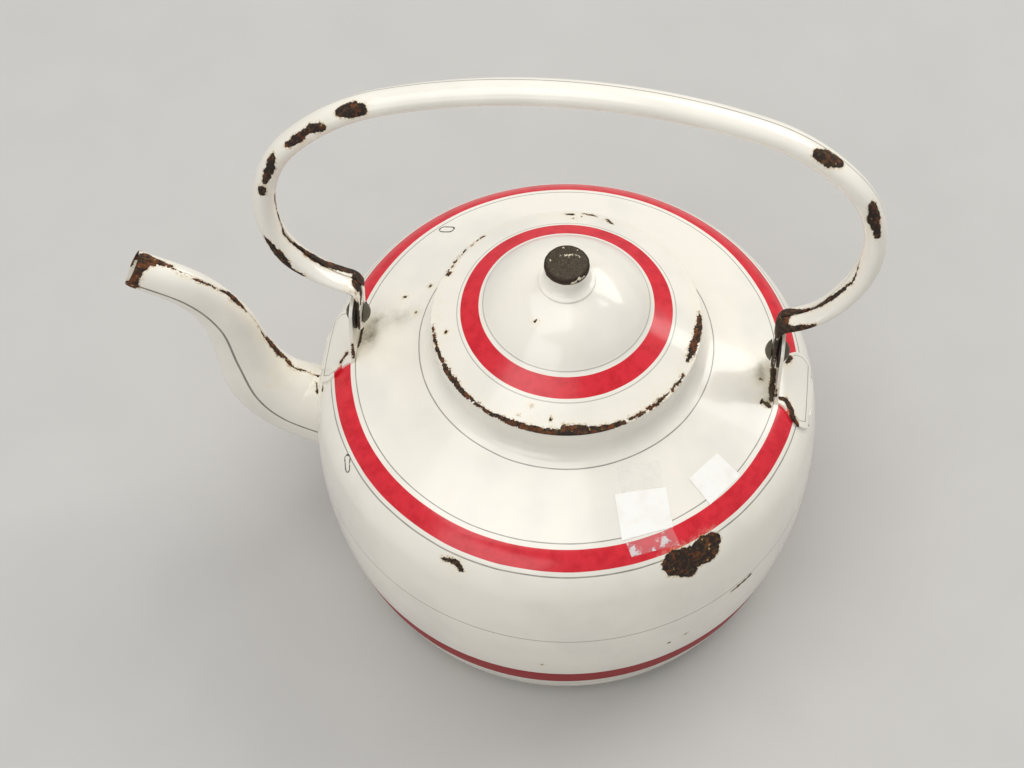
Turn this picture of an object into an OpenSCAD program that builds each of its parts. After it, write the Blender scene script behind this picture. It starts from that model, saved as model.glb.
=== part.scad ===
// Enamelled sheet steel stovetop kettle: squat body with a raised neck, brimmed lift-off lid
// with a hollow knob, swan-neck spout of two pressed halves, and a swing bail rolled from
// sheet, folded flat at its ends and riveted to two upright ears.
// Millimetres. +Z up, Z=0 is the surface it stands on, the body's axis is Z, the spout
// points along -X, and the bail swings about a line parallel to X.

/* [Body] */
// radius of the body at its widest
belly_r = 127.6; // [100:0.1:160]
// height of the widest ring above the base
belly_z = 86; // [60:0.5:110]
// radius of the arc that shapes the lower half
lower_arc_r = 228; // [150:1:320]
// radius of the gentle arc just above the widest ring
upper_arc_r = 195; // [120:1:300]
// how far round the gentle arc runs, degrees
upper_arc_deg = 10.2; // [4:0.1:20]
// radius of the shoulder's turn
shoulder_r = 32.8; // [20:0.2:45]
// slope of the shoulder cone above the horizontal, degrees
shoulder_slope = 23.6; // [15:0.1:35]
// enamelled sheet thickness
wall = 1.2; // [0.8:0.1:2]
// radius of the heel between the base and the side
heel_r = 12; // [8:0.5:18]
// height where the base pan ends and the shell begins
pan_z = 16; // [13:0.5:24]
// how far the shell reaches down inside the pan
pan_lap = 6; // [3:0.5:8]

/* [Neck] */
// outer radius of the upright neck
neck_r = 64.6; // [50:0.1:80]
// radius of the fillet between shoulder and neck
neck_fillet = 8; // [5:0.5:12]
// height of the upright part of the neck, fillet to bead
neck_rise = 9; // [5:0.5:16]
// radius of the rolled bead round the mouth
bead_r = 1.6; // [1.2:0.1:2.5]

/* [Lid] */
// slope of the lid's brim, degrees
brim_slope = 28.4; // [20:0.2:35]
// radius of the lid where its dome begins
dome_base_r = 39.8; // [30:0.2:46]
// radius of the dome's sphere
dome_r = 50.3; // [44:0.2:80]
// depth of the ring that keeps the lid in the neck
spigot_depth = 15; // [8:0.5:20]
// gap between that ring and the neck's bead
spigot_gap = 0.6; // [0.3:0.1:1.5]
// gap between brim and bead, the thickness of the lid's bare seat
lid_gap = 0.3; // [0.2:0.05:0.6]

/* [Knob] */
// radius of the knob's flared foot
foot_r = 13.4; // [11:0.2:17]
// radius of the knob's waist
waist_r = 8.9; // [7:0.1:11]
// radius of the knob's cap
cap_r = 10.6; // [9:0.1:14]
// height of the cap's top above the foot's edge
knob_h = 14.5; // [11:0.5:22]
// radius of the flare between foot and waist
flare_r = 5; // [3:0.2:7]
// radius of the cap's rounded edge
cap_edge = 2.2; // [1.6:0.1:3]
// depth of the cap's skirt over the stem
cap_skirt = 3.8; // [3:0.1:6]

/* [Spout] */
// number of facets round each spout half
spout_facets = 14; // [8:1:20]
// number of steps between two spout stations
spout_steps = 3; // [2:1:5]

/* [Ears] */
// half distance between the inner faces of the two ears
ear_x = 103.2; // [90:0.1:112]
// thickness of the ears and their feet
ear_t = 1.6; // [1.2:0.1:2.5]
// height of the pivot above the shoulder at the ear
pivot_rise = 23.4; // [20:0.2:30]
// radius of the ear's rounded top
ear_top_r = 10.4; // [8.5:0.2:12]
// half width of the ear where it meets its foot
ear_base_w = 14.4; // [11:0.2:18]
// half length of the leaf-shaped foot across the shoulder
foot_len = 21; // [17:0.5:26]
// how far the foot lies out beyond the ear's inner face
foot_out = 19; // [15:0.5:24]

/* [Pivots] */
// radius of the rivet's shank
shank_r = 3; // [2.4:0.1:4]
// radius of both rivet heads
head_r = 5.25; // [4.5:0.05:6.5]
// height of both rivet heads
head_h = 3; // [2:0.1:4]
// thickness of the washer between ear and bail
washer_t = 1.2; // [0.8:0.1:2]
// radial clearance of the bail on the shank
pivot_fit = 0.08; // [0.05:0.01:0.1]
// side clearance each way of the bail's tab
side_fit = 0.3; // [0.3:0.05:0.6]

/* [Bail] */
// height of the bail's centreline above the pivot
bail_h = 138; // [120:1:165]
// how far the bail stands out beyond the ears, centreline
bail_out = 38; // [32:0.5:44]
// radius of the bail's upper corners
bail_corner_r = 98; // [80:1:115]
// radius of the bail's lower bends
bail_low_r = 48.6; // [42:0.2:54]
// radius of the fold from tube to tab, centreline
fold_r = 7; // [6:0.2:9]
// half thickness of the oval tube in the plane of the bail
tube_a = 5.4; // [4.5:0.1:6.5]
// half width of the oval tube across that plane
tube_b = 6.9; // [5.5:0.1:8]
// half width of the flattened tab
tab_b = 9; // [8:0.1:10]
// how far the bail leans back at rest, degrees
bail_lean = 14; // [0:1:25]

/* [Hidden] */
eps = 0.05;
round_fn = 96;
bare = 0.1;

// ---- body curve: three tangent arcs, a cone and a fillet, offset outward by d ----
c1 = [belly_r - lower_arc_r, belly_z];
c2 = [belly_r - upper_arc_r, belly_z];
t1 = upper_arc_deg;
t2 = 90 - shoulder_slope;
c3 = [c2[0] + (upper_arc_r - shoulder_r) * cos(t1),
      c2[1] + (upper_arc_r - shoulder_r) * sin(t1)];
shoulder_end = [c3[0] + shoulder_r * cos(t2), c3[1] + shoulder_r * sin(t2)];
// centre of the neck fillet, outside the skin and tangent to cone and neck
function cone_z(r) = shoulder_end[1] + (shoulder_end[0] - r) * tan(shoulder_slope);
c5 = [neck_r + neck_fillet,
      cone_z(neck_r + neck_fillet) + neck_fillet / cos(shoulder_slope)];
bead_z = c5[1] + neck_rise;
bead_c = [neck_r - bead_r, bead_z];

function arc(c, r, a0, a1, n) =
    [for (i = [0:n]) let (a = a0 + (a1 - a0) * i / n) [c[0] + r * cos(a), c[1] + r * sin(a)]];
function low_a(z) = asin((z - belly_z) / lower_arc_r);
// skin from height z0 up to the fillet's top, moved outward by d
function skin(d, z0) = concat(
    arc(c1, lower_arc_r + d, low_a(z0), 0, 9),
    arc([c2[0], c2[1]], upper_arc_r + d, t1 / 4, t1, 3),
    arc(c3, shoulder_r + d, t1 + (t2 - t1) / 12, t2, 11),
    arc(c5, -(neck_fillet - d), t2, 0, 6));
// height of the outer skin at radius r of the shoulder
function turn_z(r) = r < shoulder_end[0] ? cone_z(r)
    : c3[1] + sqrt(shoulder_r * shoulder_r - (r - c3[0]) * (r - c3[0]));

// ---- lid heights, from the bead upward ----
brim_t = wall / cos(brim_slope);
lid_edge_r = neck_r + 0.3;
// under side of the brim at radius r clears the bead by lid_gap
function under_z(r) = bead_c[1] + (bead_r + lid_gap) / cos(brim_slope)
    + (bead_c[0] - r) * tan(brim_slope);
function top_z(r) = under_z(r) + brim_t;
dome_c = [0, top_z(dome_base_r) - sqrt(dome_r * dome_r - dome_base_r * dome_base_r)];
dome_a = acos(dome_base_r / dome_r);
foot_z = dome_c[1] + sqrt(dome_r * dome_r - foot_r * foot_r);
cap_z = foot_z + knob_h;

// ---- pivots ----
pivot_z = turn_z(ear_x) + pivot_rise;
tab_out = ear_x - washer_t - side_fit;
tab_half = wall + eps;
tab_x = tab_out - tab_half;
head_x = tab_x - tab_half - side_fit;

// ---- bail centreline: crown arc, corner arc, low bend, then the fold down to the tab ----
ba1 = 16;
ba2 = 46;
half_w = ear_x + bail_out;
bx2 = half_w - bail_low_r * (1 - sin(ba2));
bx1 = bx2 - bail_corner_r * (sin(ba2) - sin(ba1));
crown_r = bx1 / sin(ba1);
bz1 = bail_h - crown_r * (1 - cos(ba1));
bz2 = bz1 - bail_corner_r * (cos(ba1) - cos(ba2));
ba3 = 180 - asin((tab_x + fold_r - bx2 + bail_low_r * sin(ba2)) / (bail_low_r + fold_r));
bx3 = bx2 - bail_low_r * (sin(ba2) - sin(ba3));
bz3 = bz2 - bail_low_r * (cos(ba2) - cos(ba3));
tab_top = bz3 + fold_r * cos(ba3);

// a station is [point, normal, side, half thickness, half width]
function bail_st(x, z, b, a, w) = [[x, 0, z], [sin(b), 0, cos(b)], [0, 1, 0], a, w];
function on_arc(x0, z0, r, b0, b, a, w) =
    bail_st(x0 + r * (sin(b) - sin(b0)), z0 + r * (cos(b) - cos(b0)), b, a, w);
function ease(t) = t * t * (3 - 2 * t);
flat_from = 128;
function tube_t(b) = let (f = ease(max(0, min(1, (b - flat_from) / (ba3 - flat_from)))))
    [tube_a + (2.9 - tube_a) * f, tube_b + (0.55 * (tab_b - tube_b)) * f];
bail_half = concat(
    [for (i = [1:4]) let (b = ba1 * i / 4) on_arc(0, bail_h, crown_r, 0, b, tube_a, tube_b)],
    [for (i = [1:5]) let (b = ba1 + (ba2 - ba1) * i / 5)
        on_arc(bx1, bz1, bail_corner_r, ba1, b, tube_a, tube_b)],
    [for (i = [1:14]) let (b = ba2 + (ba3 - ba2) * i / 14, s = tube_t(b))
        on_arc(bx2, bz2, bail_low_r, ba2, b, s[0], s[1])],
    [for (i = [1:6]) let (b = ba3 + (90 - ba3) * i / 6, f = ease(i / 6),
        w = tube_b + 0.55 * (tab_b - tube_b))
        on_arc(bx3, bz3, -fold_r, ba3, b, 2.9 + (tab_half - 2.9) * f, w + (tab_b - w) * f)]);
function mirrored(st) = [[-st[0][0], 0, st[0][2]], [-st[1][0], 0, st[1][2]],
    st[2], st[3], st[4]];
bail_path = concat(
    [for (i = [len(bail_half) - 1:-1:0]) mirrored(bail_half[i])],
    [bail_st(0, bail_h, 0, tube_a, tube_b)], bail_half);

// ---- spout stations beyond the widest radius: [out, height, half height, half width] ----
spout_rows = [[-19.6, 72.8, 31, 17.4], [-1.7, 79.1, 28.9, 17], [17.9, 88, 25.1, 15.7],
    [30.1, 103, 20.8, 13.8], [37, 127.7, 15.5, 11], [42.7, 154.1, 13.4, 8.8],
    [56.8, 174.3, 11.6, 8.6], [83.6, 188.8, 9.6, 9]];
spout_n = len(spout_rows);
function row(i) = i < 0 ? 2 * spout_rows[0] - spout_rows[1]
    : i >= spout_n ? 2 * spout_rows[spout_n - 1] - spout_rows[spout_n - 2] : spout_rows[i];
function blend(i, t) = 0.5 * (2 * row(i) + (row(i + 1) - row(i - 1)) * t
    + (2 * row(i - 1) - 5 * row(i) + 4 * row(i + 1) - row(i + 2)) * t * t
    + (3 * row(i) - row(i - 1) - 3 * row(i + 1) + row(i + 2)) * t * t * t);
function slope(i, t) = 0.5 * ((row(i + 1) - row(i - 1))
    + 2 * (2 * row(i - 1) - 5 * row(i) + 4 * row(i + 1) - row(i + 2)) * t
    + 3 * (3 * row(i) - row(i - 1) - 3 * row(i + 1) + row(i + 2)) * t * t);
function spout_st(i, t) = let (p = blend(i, t), s = slope(i, t), l = norm([s[0], s[1]]))
    [[-(belly_r + p[0]), 0, p[1]], [s[1] / l, 0, s[0] / l], [0, 1, 0], p[2], p[3]];
spout_path = concat(
    [for (i = [0:spout_n - 2], k = [0:spout_steps - 1]) spout_st(i, k / spout_steps)],
    [spout_st(spout_n - 2, 1)]);

// ---- sweep of an open sheet section, outer side from angle h0 to h1, inner side back ----
function at(st, a, b, h) = st[0] + a * cos(h) * st[1] + b * sin(h) * st[2];
function sheet_ring(st, w, h0, h1, m) = concat(
    [for (j = [0:m]) at(st, st[3], st[4], h0 + (h1 - h0) * j / m)],
    [for (j = [m:-1:0]) at(st, st[3] - w, st[4] - w, h0 + (h1 - h0) * j / m)]);
module sheet_sweep(path, w, h0, h1, m, flip = false) {
    n = 2 * (m + 1);
    k = len(path);
    pts = [for (st = path) each sheet_ring(st, w, h0, h1, m)];
    side = [for (i = [0:k - 2], j = [0:n - 1])
        let (p = i * n + j, q = i * n + (j + 1) % n) each [[p, q, q + n], [p, q + n, p + n]]];
    cap0 = [for (j = [0:m - 1]) each [[j, n - 1 - j, n - 2 - j], [j, n - 2 - j, j + 1]]];
    b = (k - 1) * n;
    cap1 = [for (j = [0:m - 1]) each
        [[b + j, b + n - 2 - j, b + n - 1 - j], [b + j, b + j + 1, b + n - 2 - j]]];
    all = concat(side, cap0, cap1);
    polyhedron(points = pts, faces = flip ? [for (f = all) [f[0], f[2], f[1]]] : all);
}
// ---- helpers ----
module turned(pts) { rotate_extrude($fn = round_fn) polygon(pts); }
// puts a piece made along Z onto the pivot line, on the right (1) or left (-1)
module on_pivot(s) {
    translate([0, 0, pivot_z]) rotate([0, s * 90, 0]) children();
}
// the whole body as a solid, to trim what is welded on its outside
module body_solid() {
    turned(concat([[0, 2]], [[belly_r - 20, 2]], skin(0, 3), [[neck_r, bead_z], [0, bead_z]]));
}

// opening through the body's wall behind the spout: two round ends and flat flanks
module spout_port() {
    a = spout_rows[1][2] - wall;
    b = spout_rows[1][3] - wall;
    r = 0.9 * b;
    h = a - r - 2;
    rise = atan((spout_rows[1][1] - spout_rows[0][1]) / (spout_rows[1][0] - spout_rows[0][0]));
    deep = 1.4 * a;
    translate([-(belly_r + spout_rows[1][0]), 0, spout_rows[1][1]]) rotate([0, rise - 90, 0])
        translate([0, 0, -0.46 * deep]) {
            for (s = [-1, 1]) translate([s * h, 0, 0]) cylinder(r = r, h = deep, $fn = 64);
            translate([-h, -r, 0]) cube([2 * h, 2 * r, deep]);
        }
}

// pressed base: flat bottom, round heel, short wall that the shell stands inside
module base_pan() {
    hx = c1[0] + sqrt((lower_arc_r - heel_r) * (lower_arc_r - heel_r)
        - (heel_r - belly_z) * (heel_r - belly_z));
    ha = asin((heel_r - belly_z) / (lower_arc_r - heel_r));
    color("ivory") turned(concat([[0, 0]],
        arc([hx, heel_r], heel_r, -90, ha, 8),
        arc(c1, lower_arc_r, ha + (low_a(pan_z) - ha) / 2, low_a(pan_z), 1),
        arc(c1, lower_arc_r - wall, low_a(pan_z), ha + (low_a(pan_z) - ha) / 2, 1),
        arc([hx, heel_r], heel_r - wall, ha, -90, 8),
        [[0, wall]]));
}

// pressed shell: stepped skirt inside the pan, belly, shoulder, neck and rolled bead
module body_shell() {
    step = wall + bare;
    z0 = pan_z - pan_lap;
    z1 = pan_z + bare;
    outer = concat(
        arc(c1, lower_arc_r - step, low_a(z0), low_a(z1), 2), skin(0, z1));
    inner = concat(
        arc(c1, lower_arc_r - step - wall, low_a(z0), low_a(z1 + wall), 2),
        skin(-wall, z1 + 2.4 * wall));
    bead = arc(bead_c, bead_r, 0, 200, 10);
    n = len(inner);
    color("ivory") difference() {
        turned(concat(outer, bead, [[neck_r - wall, bead_z - bead_r]],
            [for (i = [n - 1:-1:0]) inner[i]]));
        spout_port();
    }
}

// one pressed half of the swan-neck spout, butted to the body and to the other half
module spout_half(front) {
    color("ivory") difference() {
        sheet_sweep(spout_path, wall, front ? -180 : 0, front ? 0 : 180, spout_facets);
        body_solid();
    }
}
module spout_front() { spout_half(true); }
module spout_back() { spout_half(false); }

// leaf-shaped foot lying over the shoulder, with the upright ear folded up from its edge
module ear(s) {
    // plan of the foot: [out from the ear's inner face, along Y], front half
    leaf = concat([[ear_t / 2, ear_base_w],
        [0.3 * foot_out, ear_base_w + 0.24 * (foot_len - ear_base_w)]],
        [for (p = [[0.5, 0.943], [0.7, 1], [0.85, 0.924], [0.96, 0.738], [1, 0.476],
            [0.985, 0.19], [0.975, 0]]) [p[0] * foot_out, p[1] * foot_len]]);
    n = len(leaf);
    plan = concat([for (p = leaf) [ear_x + p[0], p[1]]],
        [for (i = [n - 2:-1:0]) [ear_x + leaf[i][0], -leaf[i][1]]]);
    // upright: a rounded top with two straight flanks tangent to it
    d = norm([ear_base_w, pivot_rise]);
    ta = acos(ear_top_r / d) - atan(ear_base_w / pivot_rise);
    low = pivot_rise + ear_t;
    // the sheet over the shoulder runs in past the upright's inner face
    rin = min(ear_x, shoulder_end[0]) - 4 * ear_t;
    color("ivory") mirror([s < 0 ? 1 : 0, 0, 0]) difference() {
        union() {
            intersection() {
                translate([0, 0, belly_z]) linear_extrude(height = pivot_z - belly_z)
                    polygon(plan);
                turned(concat([[rin, belly_z - ear_t], [belly_r, belly_z - ear_t]],
                    arc(c3, shoulder_r + ear_t, 5, t2, 10),
                    [[rin, cone_z(rin)] + ear_t * [cos(t2), sin(t2)]]));
            }
            translate([ear_x, 0, pivot_z]) rotate([0, 90, 0]) rotate([0, 0, 90])
                linear_extrude(height = ear_t)
                    polygon(concat(arc([0, 0], ear_top_r, ta, 180 - ta, 16),
                        [[-ear_base_w, -low], [ear_base_w, -low]]));
        }
        body_solid();
        translate([ear_x - ear_t, 0, pivot_z]) rotate([0, 90, 0])
            cylinder(r = shank_r, h = 3 * ear_t, $fn = 48);
    }
}
module ear_left() { ear(-1); }
module ear_right() { ear(1); }

// flat washer that keeps the bail's tab off the ear
module washer(s) {
    color("slategray") on_pivot(s) translate([0, 0, ear_x - washer_t])
        difference() {
            cylinder(r = ear_top_r - 2, h = washer_t, $fn = 48);
            translate([0, 0, -1]) cylinder(r = shank_r, h = washer_t + 2, $fn = 48);
        }
}
module washer_left() { washer(-1); }
module washer_right() { washer(1); }

// rivet: domed head inside, shank through tab, washer and ear, upset head outside
module rivet(s) {
    cap = (head_r * head_r + head_h * head_h) / (2 * head_h);
    ca = acos(head_r / cap);
    xo = ear_x + ear_t;
    color("dimgray") on_pivot(s) rotate_extrude($fn = 48)
        polygon(concat(arc([0, head_x - head_h + cap], cap, -90, -ca, 5),
            [[shank_r, head_x], [shank_r, xo]],
            arc([0, xo + head_h - cap], cap, ca, 90, 5)));
}
module rivet_left() { rivet(-1); }
module rivet_right() { rivet(1); }

// bail: one sheet strip rolled to an oval tube, its seam on the inside of the bend,
// pressed flat at both ends and folded down into bored tabs
module bail() {
    color("ivory") translate([0, 0, pivot_z]) rotate([-bail_lean, 0, 0]) difference() {
        union() {
            sheet_sweep(bail_path, wall, -177, 177, 16);
            for (s = [-1, 1]) mirror([s < 0 ? 1 : 0, 0, 0])
                translate([tab_x - tab_half + 0.03, 0, 0]) rotate([0, 90, 0]) {
                    cylinder(r = tab_b, h = 2 * tab_half - 0.06, $fn = 64);
                    translate([-tab_top - 0.6, -tab_b, 0])
                        cube([tab_top + 0.6, 2 * tab_b, 2 * tab_half - 0.06]);
                }
        }
        translate([-ear_x, 0, 0]) rotate([0, 90, 0])
            cylinder(r = shank_r + pivot_fit, h = 2 * ear_x, $fn = 48);
    }
}

// lid: sloping brim that rests over the neck's bead, and a round dome
module lid_shell() {
    color("ivory") difference() {
        turned(concat([[lid_edge_r, under_z(lid_edge_r)],
            [lid_edge_r + 0.35, under_z(lid_edge_r) + brim_t / 2],
            [lid_edge_r, top_z(lid_edge_r)]],
            arc(dome_c, dome_r, dome_a, 90, 12),
            arc(dome_c, dome_r - wall, 90, dome_a, 12),
            [[dome_base_r - wall * sin(brim_slope),
              top_z(dome_base_r) - wall * cos(brim_slope)]]));
        translate([0, 0, dome_c[1]]) cylinder(r = 2.5, h = dome_r + 5, $fn = 32);
    }
}

// ring under the brim that drops into the neck and keeps the lid centred
module lid_spigot() {
    rs = neck_r - 2 * bead_r - spigot_gap;
    ri = rs - 9;
    zb = bead_z - spigot_depth;
    color("ivory") turned([[rs, zb], [rs, under_z(rs)], [ri, under_z(ri)],
        [ri, under_z(ri) - brim_t], [rs - wall, under_z(rs - wall) - brim_t],
        [rs - wall, zb]]);
}

// hollow flared stem of the knob, with an in-turned floor lying on the dome
module knob_stem() {
    r0 = flare_r;
    c = [waist_r + r0, foot_z + 1.2 * r0];
    a0 = 360 - acos((foot_r - c[0]) / r0);
    top = cap_z - cap_edge;
    // inside, the flare meets the top of the floor where their two circles cross
    d = norm(c - dome_c);
    u = (c - dome_c) / d;
    fr = dome_r + wall;
    k = (fr * fr - (r0 + wall) * (r0 + wall) + d * d) / (2 * d);
    m = dome_c + k * u + sqrt(fr * fr - k * k) * [-u[1], u[0]];
    color("ivory") difference() {
        turned(concat(arc(c, r0, a0, 180, 6),
            [[cap_r - wall, cap_z - cap_skirt], [cap_r - wall, top], [cap_r - 2 * wall, top],
             [cap_r - 2 * wall, cap_z - cap_skirt]],
            arc(c, r0 + wall, 180, 360 + atan2(m[1] - c[1], m[0] - c[0]), 3),
            arc(dome_c, fr, atan2(m[1] - dome_c[1], m[0]), 90, 4),
            arc(dome_c, dome_r, 90, acos(foot_r / dome_r), 6)));
        translate([0, 0, dome_c[1]]) cylinder(r = 2.5, h = fr + wall, $fn = 32);
    }
}

// pressed cap that closes the top of the stem
module knob_cap() {
    e = cap_edge;
    color("darkolivegreen") turned(concat([[cap_r, cap_z - cap_skirt]],
        arc([cap_r - e, cap_z - e], e, 0, 80, 5), [[0, cap_z + 0.7]],
        [[0, cap_z + 0.7 - wall]],
        arc([cap_r - e, cap_z - e], e - wall, 80, 0, 4), [[cap_r - wall, cap_z - cap_skirt]]));
}

// rivet that holds the knob's floor to the lid
module knob_rivet() {
    zl = dome_c[1] + sqrt((dome_r - wall) * (dome_r - wall) - 25);
    zu = dome_c[1] + dome_r + wall;
    color("dimgray") rotate_extrude($fn = 32)
        polygon([[0, zl - 2], [3, zl - 1.7], [4.6, zl - 0.8], [5, zl], [2.5, zl], [2.5, zu],
            [4.2, zu], [3.8, zu + 1], [2.4, zu + 1.6], [0, zu + 1.8]]);
}

base_pan();
body_shell();
spout_front();
spout_back();
ear_left();
ear_right();
washer_left();
washer_right();
rivet_left();
rivet_right();
bail();
lid_shell();
lid_spigot();
knob_stem();
knob_cap();
knob_rivet();
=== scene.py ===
"""Enamelled stovetop kettle with a swan-neck spout, a swing bail and a brimmed lid.

Lengths are in millimetres until a mesh is made. +Z is up and the spout points along -X.
Wear is stored on the vertices as a distance in millimetres from the nearest bare patch,
and the enamel's own noise makes the edge of each patch ragged.
"""
import math

import bmesh
import bpy
import numpy as np
from mathutils import Matrix, Vector, noise


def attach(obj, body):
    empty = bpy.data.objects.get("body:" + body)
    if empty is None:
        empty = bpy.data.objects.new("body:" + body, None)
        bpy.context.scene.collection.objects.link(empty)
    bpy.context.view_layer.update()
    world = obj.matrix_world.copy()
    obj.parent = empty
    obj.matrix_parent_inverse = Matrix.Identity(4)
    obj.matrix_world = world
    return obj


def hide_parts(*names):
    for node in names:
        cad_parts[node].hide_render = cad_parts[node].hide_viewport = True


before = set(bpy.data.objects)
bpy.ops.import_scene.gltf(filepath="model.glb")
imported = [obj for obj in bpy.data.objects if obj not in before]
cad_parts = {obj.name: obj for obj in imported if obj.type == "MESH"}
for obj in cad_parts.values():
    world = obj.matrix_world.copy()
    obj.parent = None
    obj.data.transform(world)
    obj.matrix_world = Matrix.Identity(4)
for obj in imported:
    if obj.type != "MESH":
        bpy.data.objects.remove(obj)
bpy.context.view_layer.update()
MM = 0.001

# ---------------------------------------------------------------- camera and light
CAMERA_TURN = math.radians(5.8)
CAMERA_YAW, CAMERA_PITCH, CAMERA_ROLL = (math.radians(a) for a in (-2.864, 57.115, -1.860))
CAMERA_PLACE = (0.05465, -0.53798, 0.95858)
LENS = 69.53


def camera_axes():
    """Right, up and forward of the camera, turned into the kettle's own frame."""
    cp, sp = math.cos(CAMERA_PITCH), math.sin(CAMERA_PITCH)
    cy, sy = math.cos(CAMERA_YAW), math.sin(CAMERA_YAW)
    forward = Vector((sy * cp, cy * cp, -sp))
    right = Vector((cy, -sy, 0))
    up = right.cross(forward)
    cr, sr = math.cos(CAMERA_ROLL), math.sin(CAMERA_ROLL)
    turn = Matrix.Rotation(CAMERA_TURN, 3, "Z")
    return turn @ (cr * right + sr * up), turn @ (cr * up - sr * right), turn @ forward


def put_camera():
    right, up, forward = camera_axes()
    data = bpy.data.cameras.new("camera")
    data.lens, data.sensor_width = LENS, 36
    data.clip_start, data.clip_end = 0.05, 20
    camera = bpy.data.objects.new("camera", data)
    bpy.context.scene.collection.objects.link(camera)
    camera.matrix_world = Matrix.Translation(CAMERA_PLACE) @ Matrix(
        (right, up, -forward)).transposed().to_4x4()
    bpy.context.scene.camera = camera


def soft_light(name, place, aim, size, watts, tint=(1, 1, 1)):
    data = bpy.data.lights.new(name, "AREA")
    data.shape, data.size, data.size_y = "RECTANGLE", size[0], size[1]
    data.energy, data.color = watts, tint
    light = bpy.data.objects.new(name, data)
    bpy.context.scene.collection.objects.link(light)
    light.location = place
    light.rotation_euler = (Vector(aim) - Vector(place)).to_track_quat("-Z", "Y").to_euler()


# ---------------------------------------------------------------- shader recipes
def shade(red, green, blue):
    """A colour as the eye names it, 0 to 255, in Blender's linear values."""
    return tuple((c / 12.92 if c <= 0.04045 else ((c + 0.055) / 1.055) ** 2.4)
                 for c in (red / 255, green / 255, blue / 255)) + (1.0,)


def by_math(operation, swap=False):
    def act(self, other=None):
        pair = (other, self) if swap else (self, other)
        return self.recipe.add("ShaderNodeMath", {"operation": operation},
                               {i: v for i, v in enumerate(pair) if v is not None})
    return act


class Wire:
    """One output of a node. Python's own signs between wires and numbers add Math nodes."""

    def __init__(self, recipe, output):
        self.recipe, self.output = recipe, output

    __add__ = __radd__ = by_math("ADD")
    __mul__ = __rmul__ = by_math("MULTIPLY")
    __sub__, __rsub__ = by_math("SUBTRACT"), by_math("SUBTRACT", True)
    __truediv__, __rtruediv__ = by_math("DIVIDE"), by_math("DIVIDE", True)
    __pow__, __abs__ = by_math("POWER"), by_math("ABSOLUTE")
    lower, upper = by_math("MINIMUM"), by_math("MAXIMUM")


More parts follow.
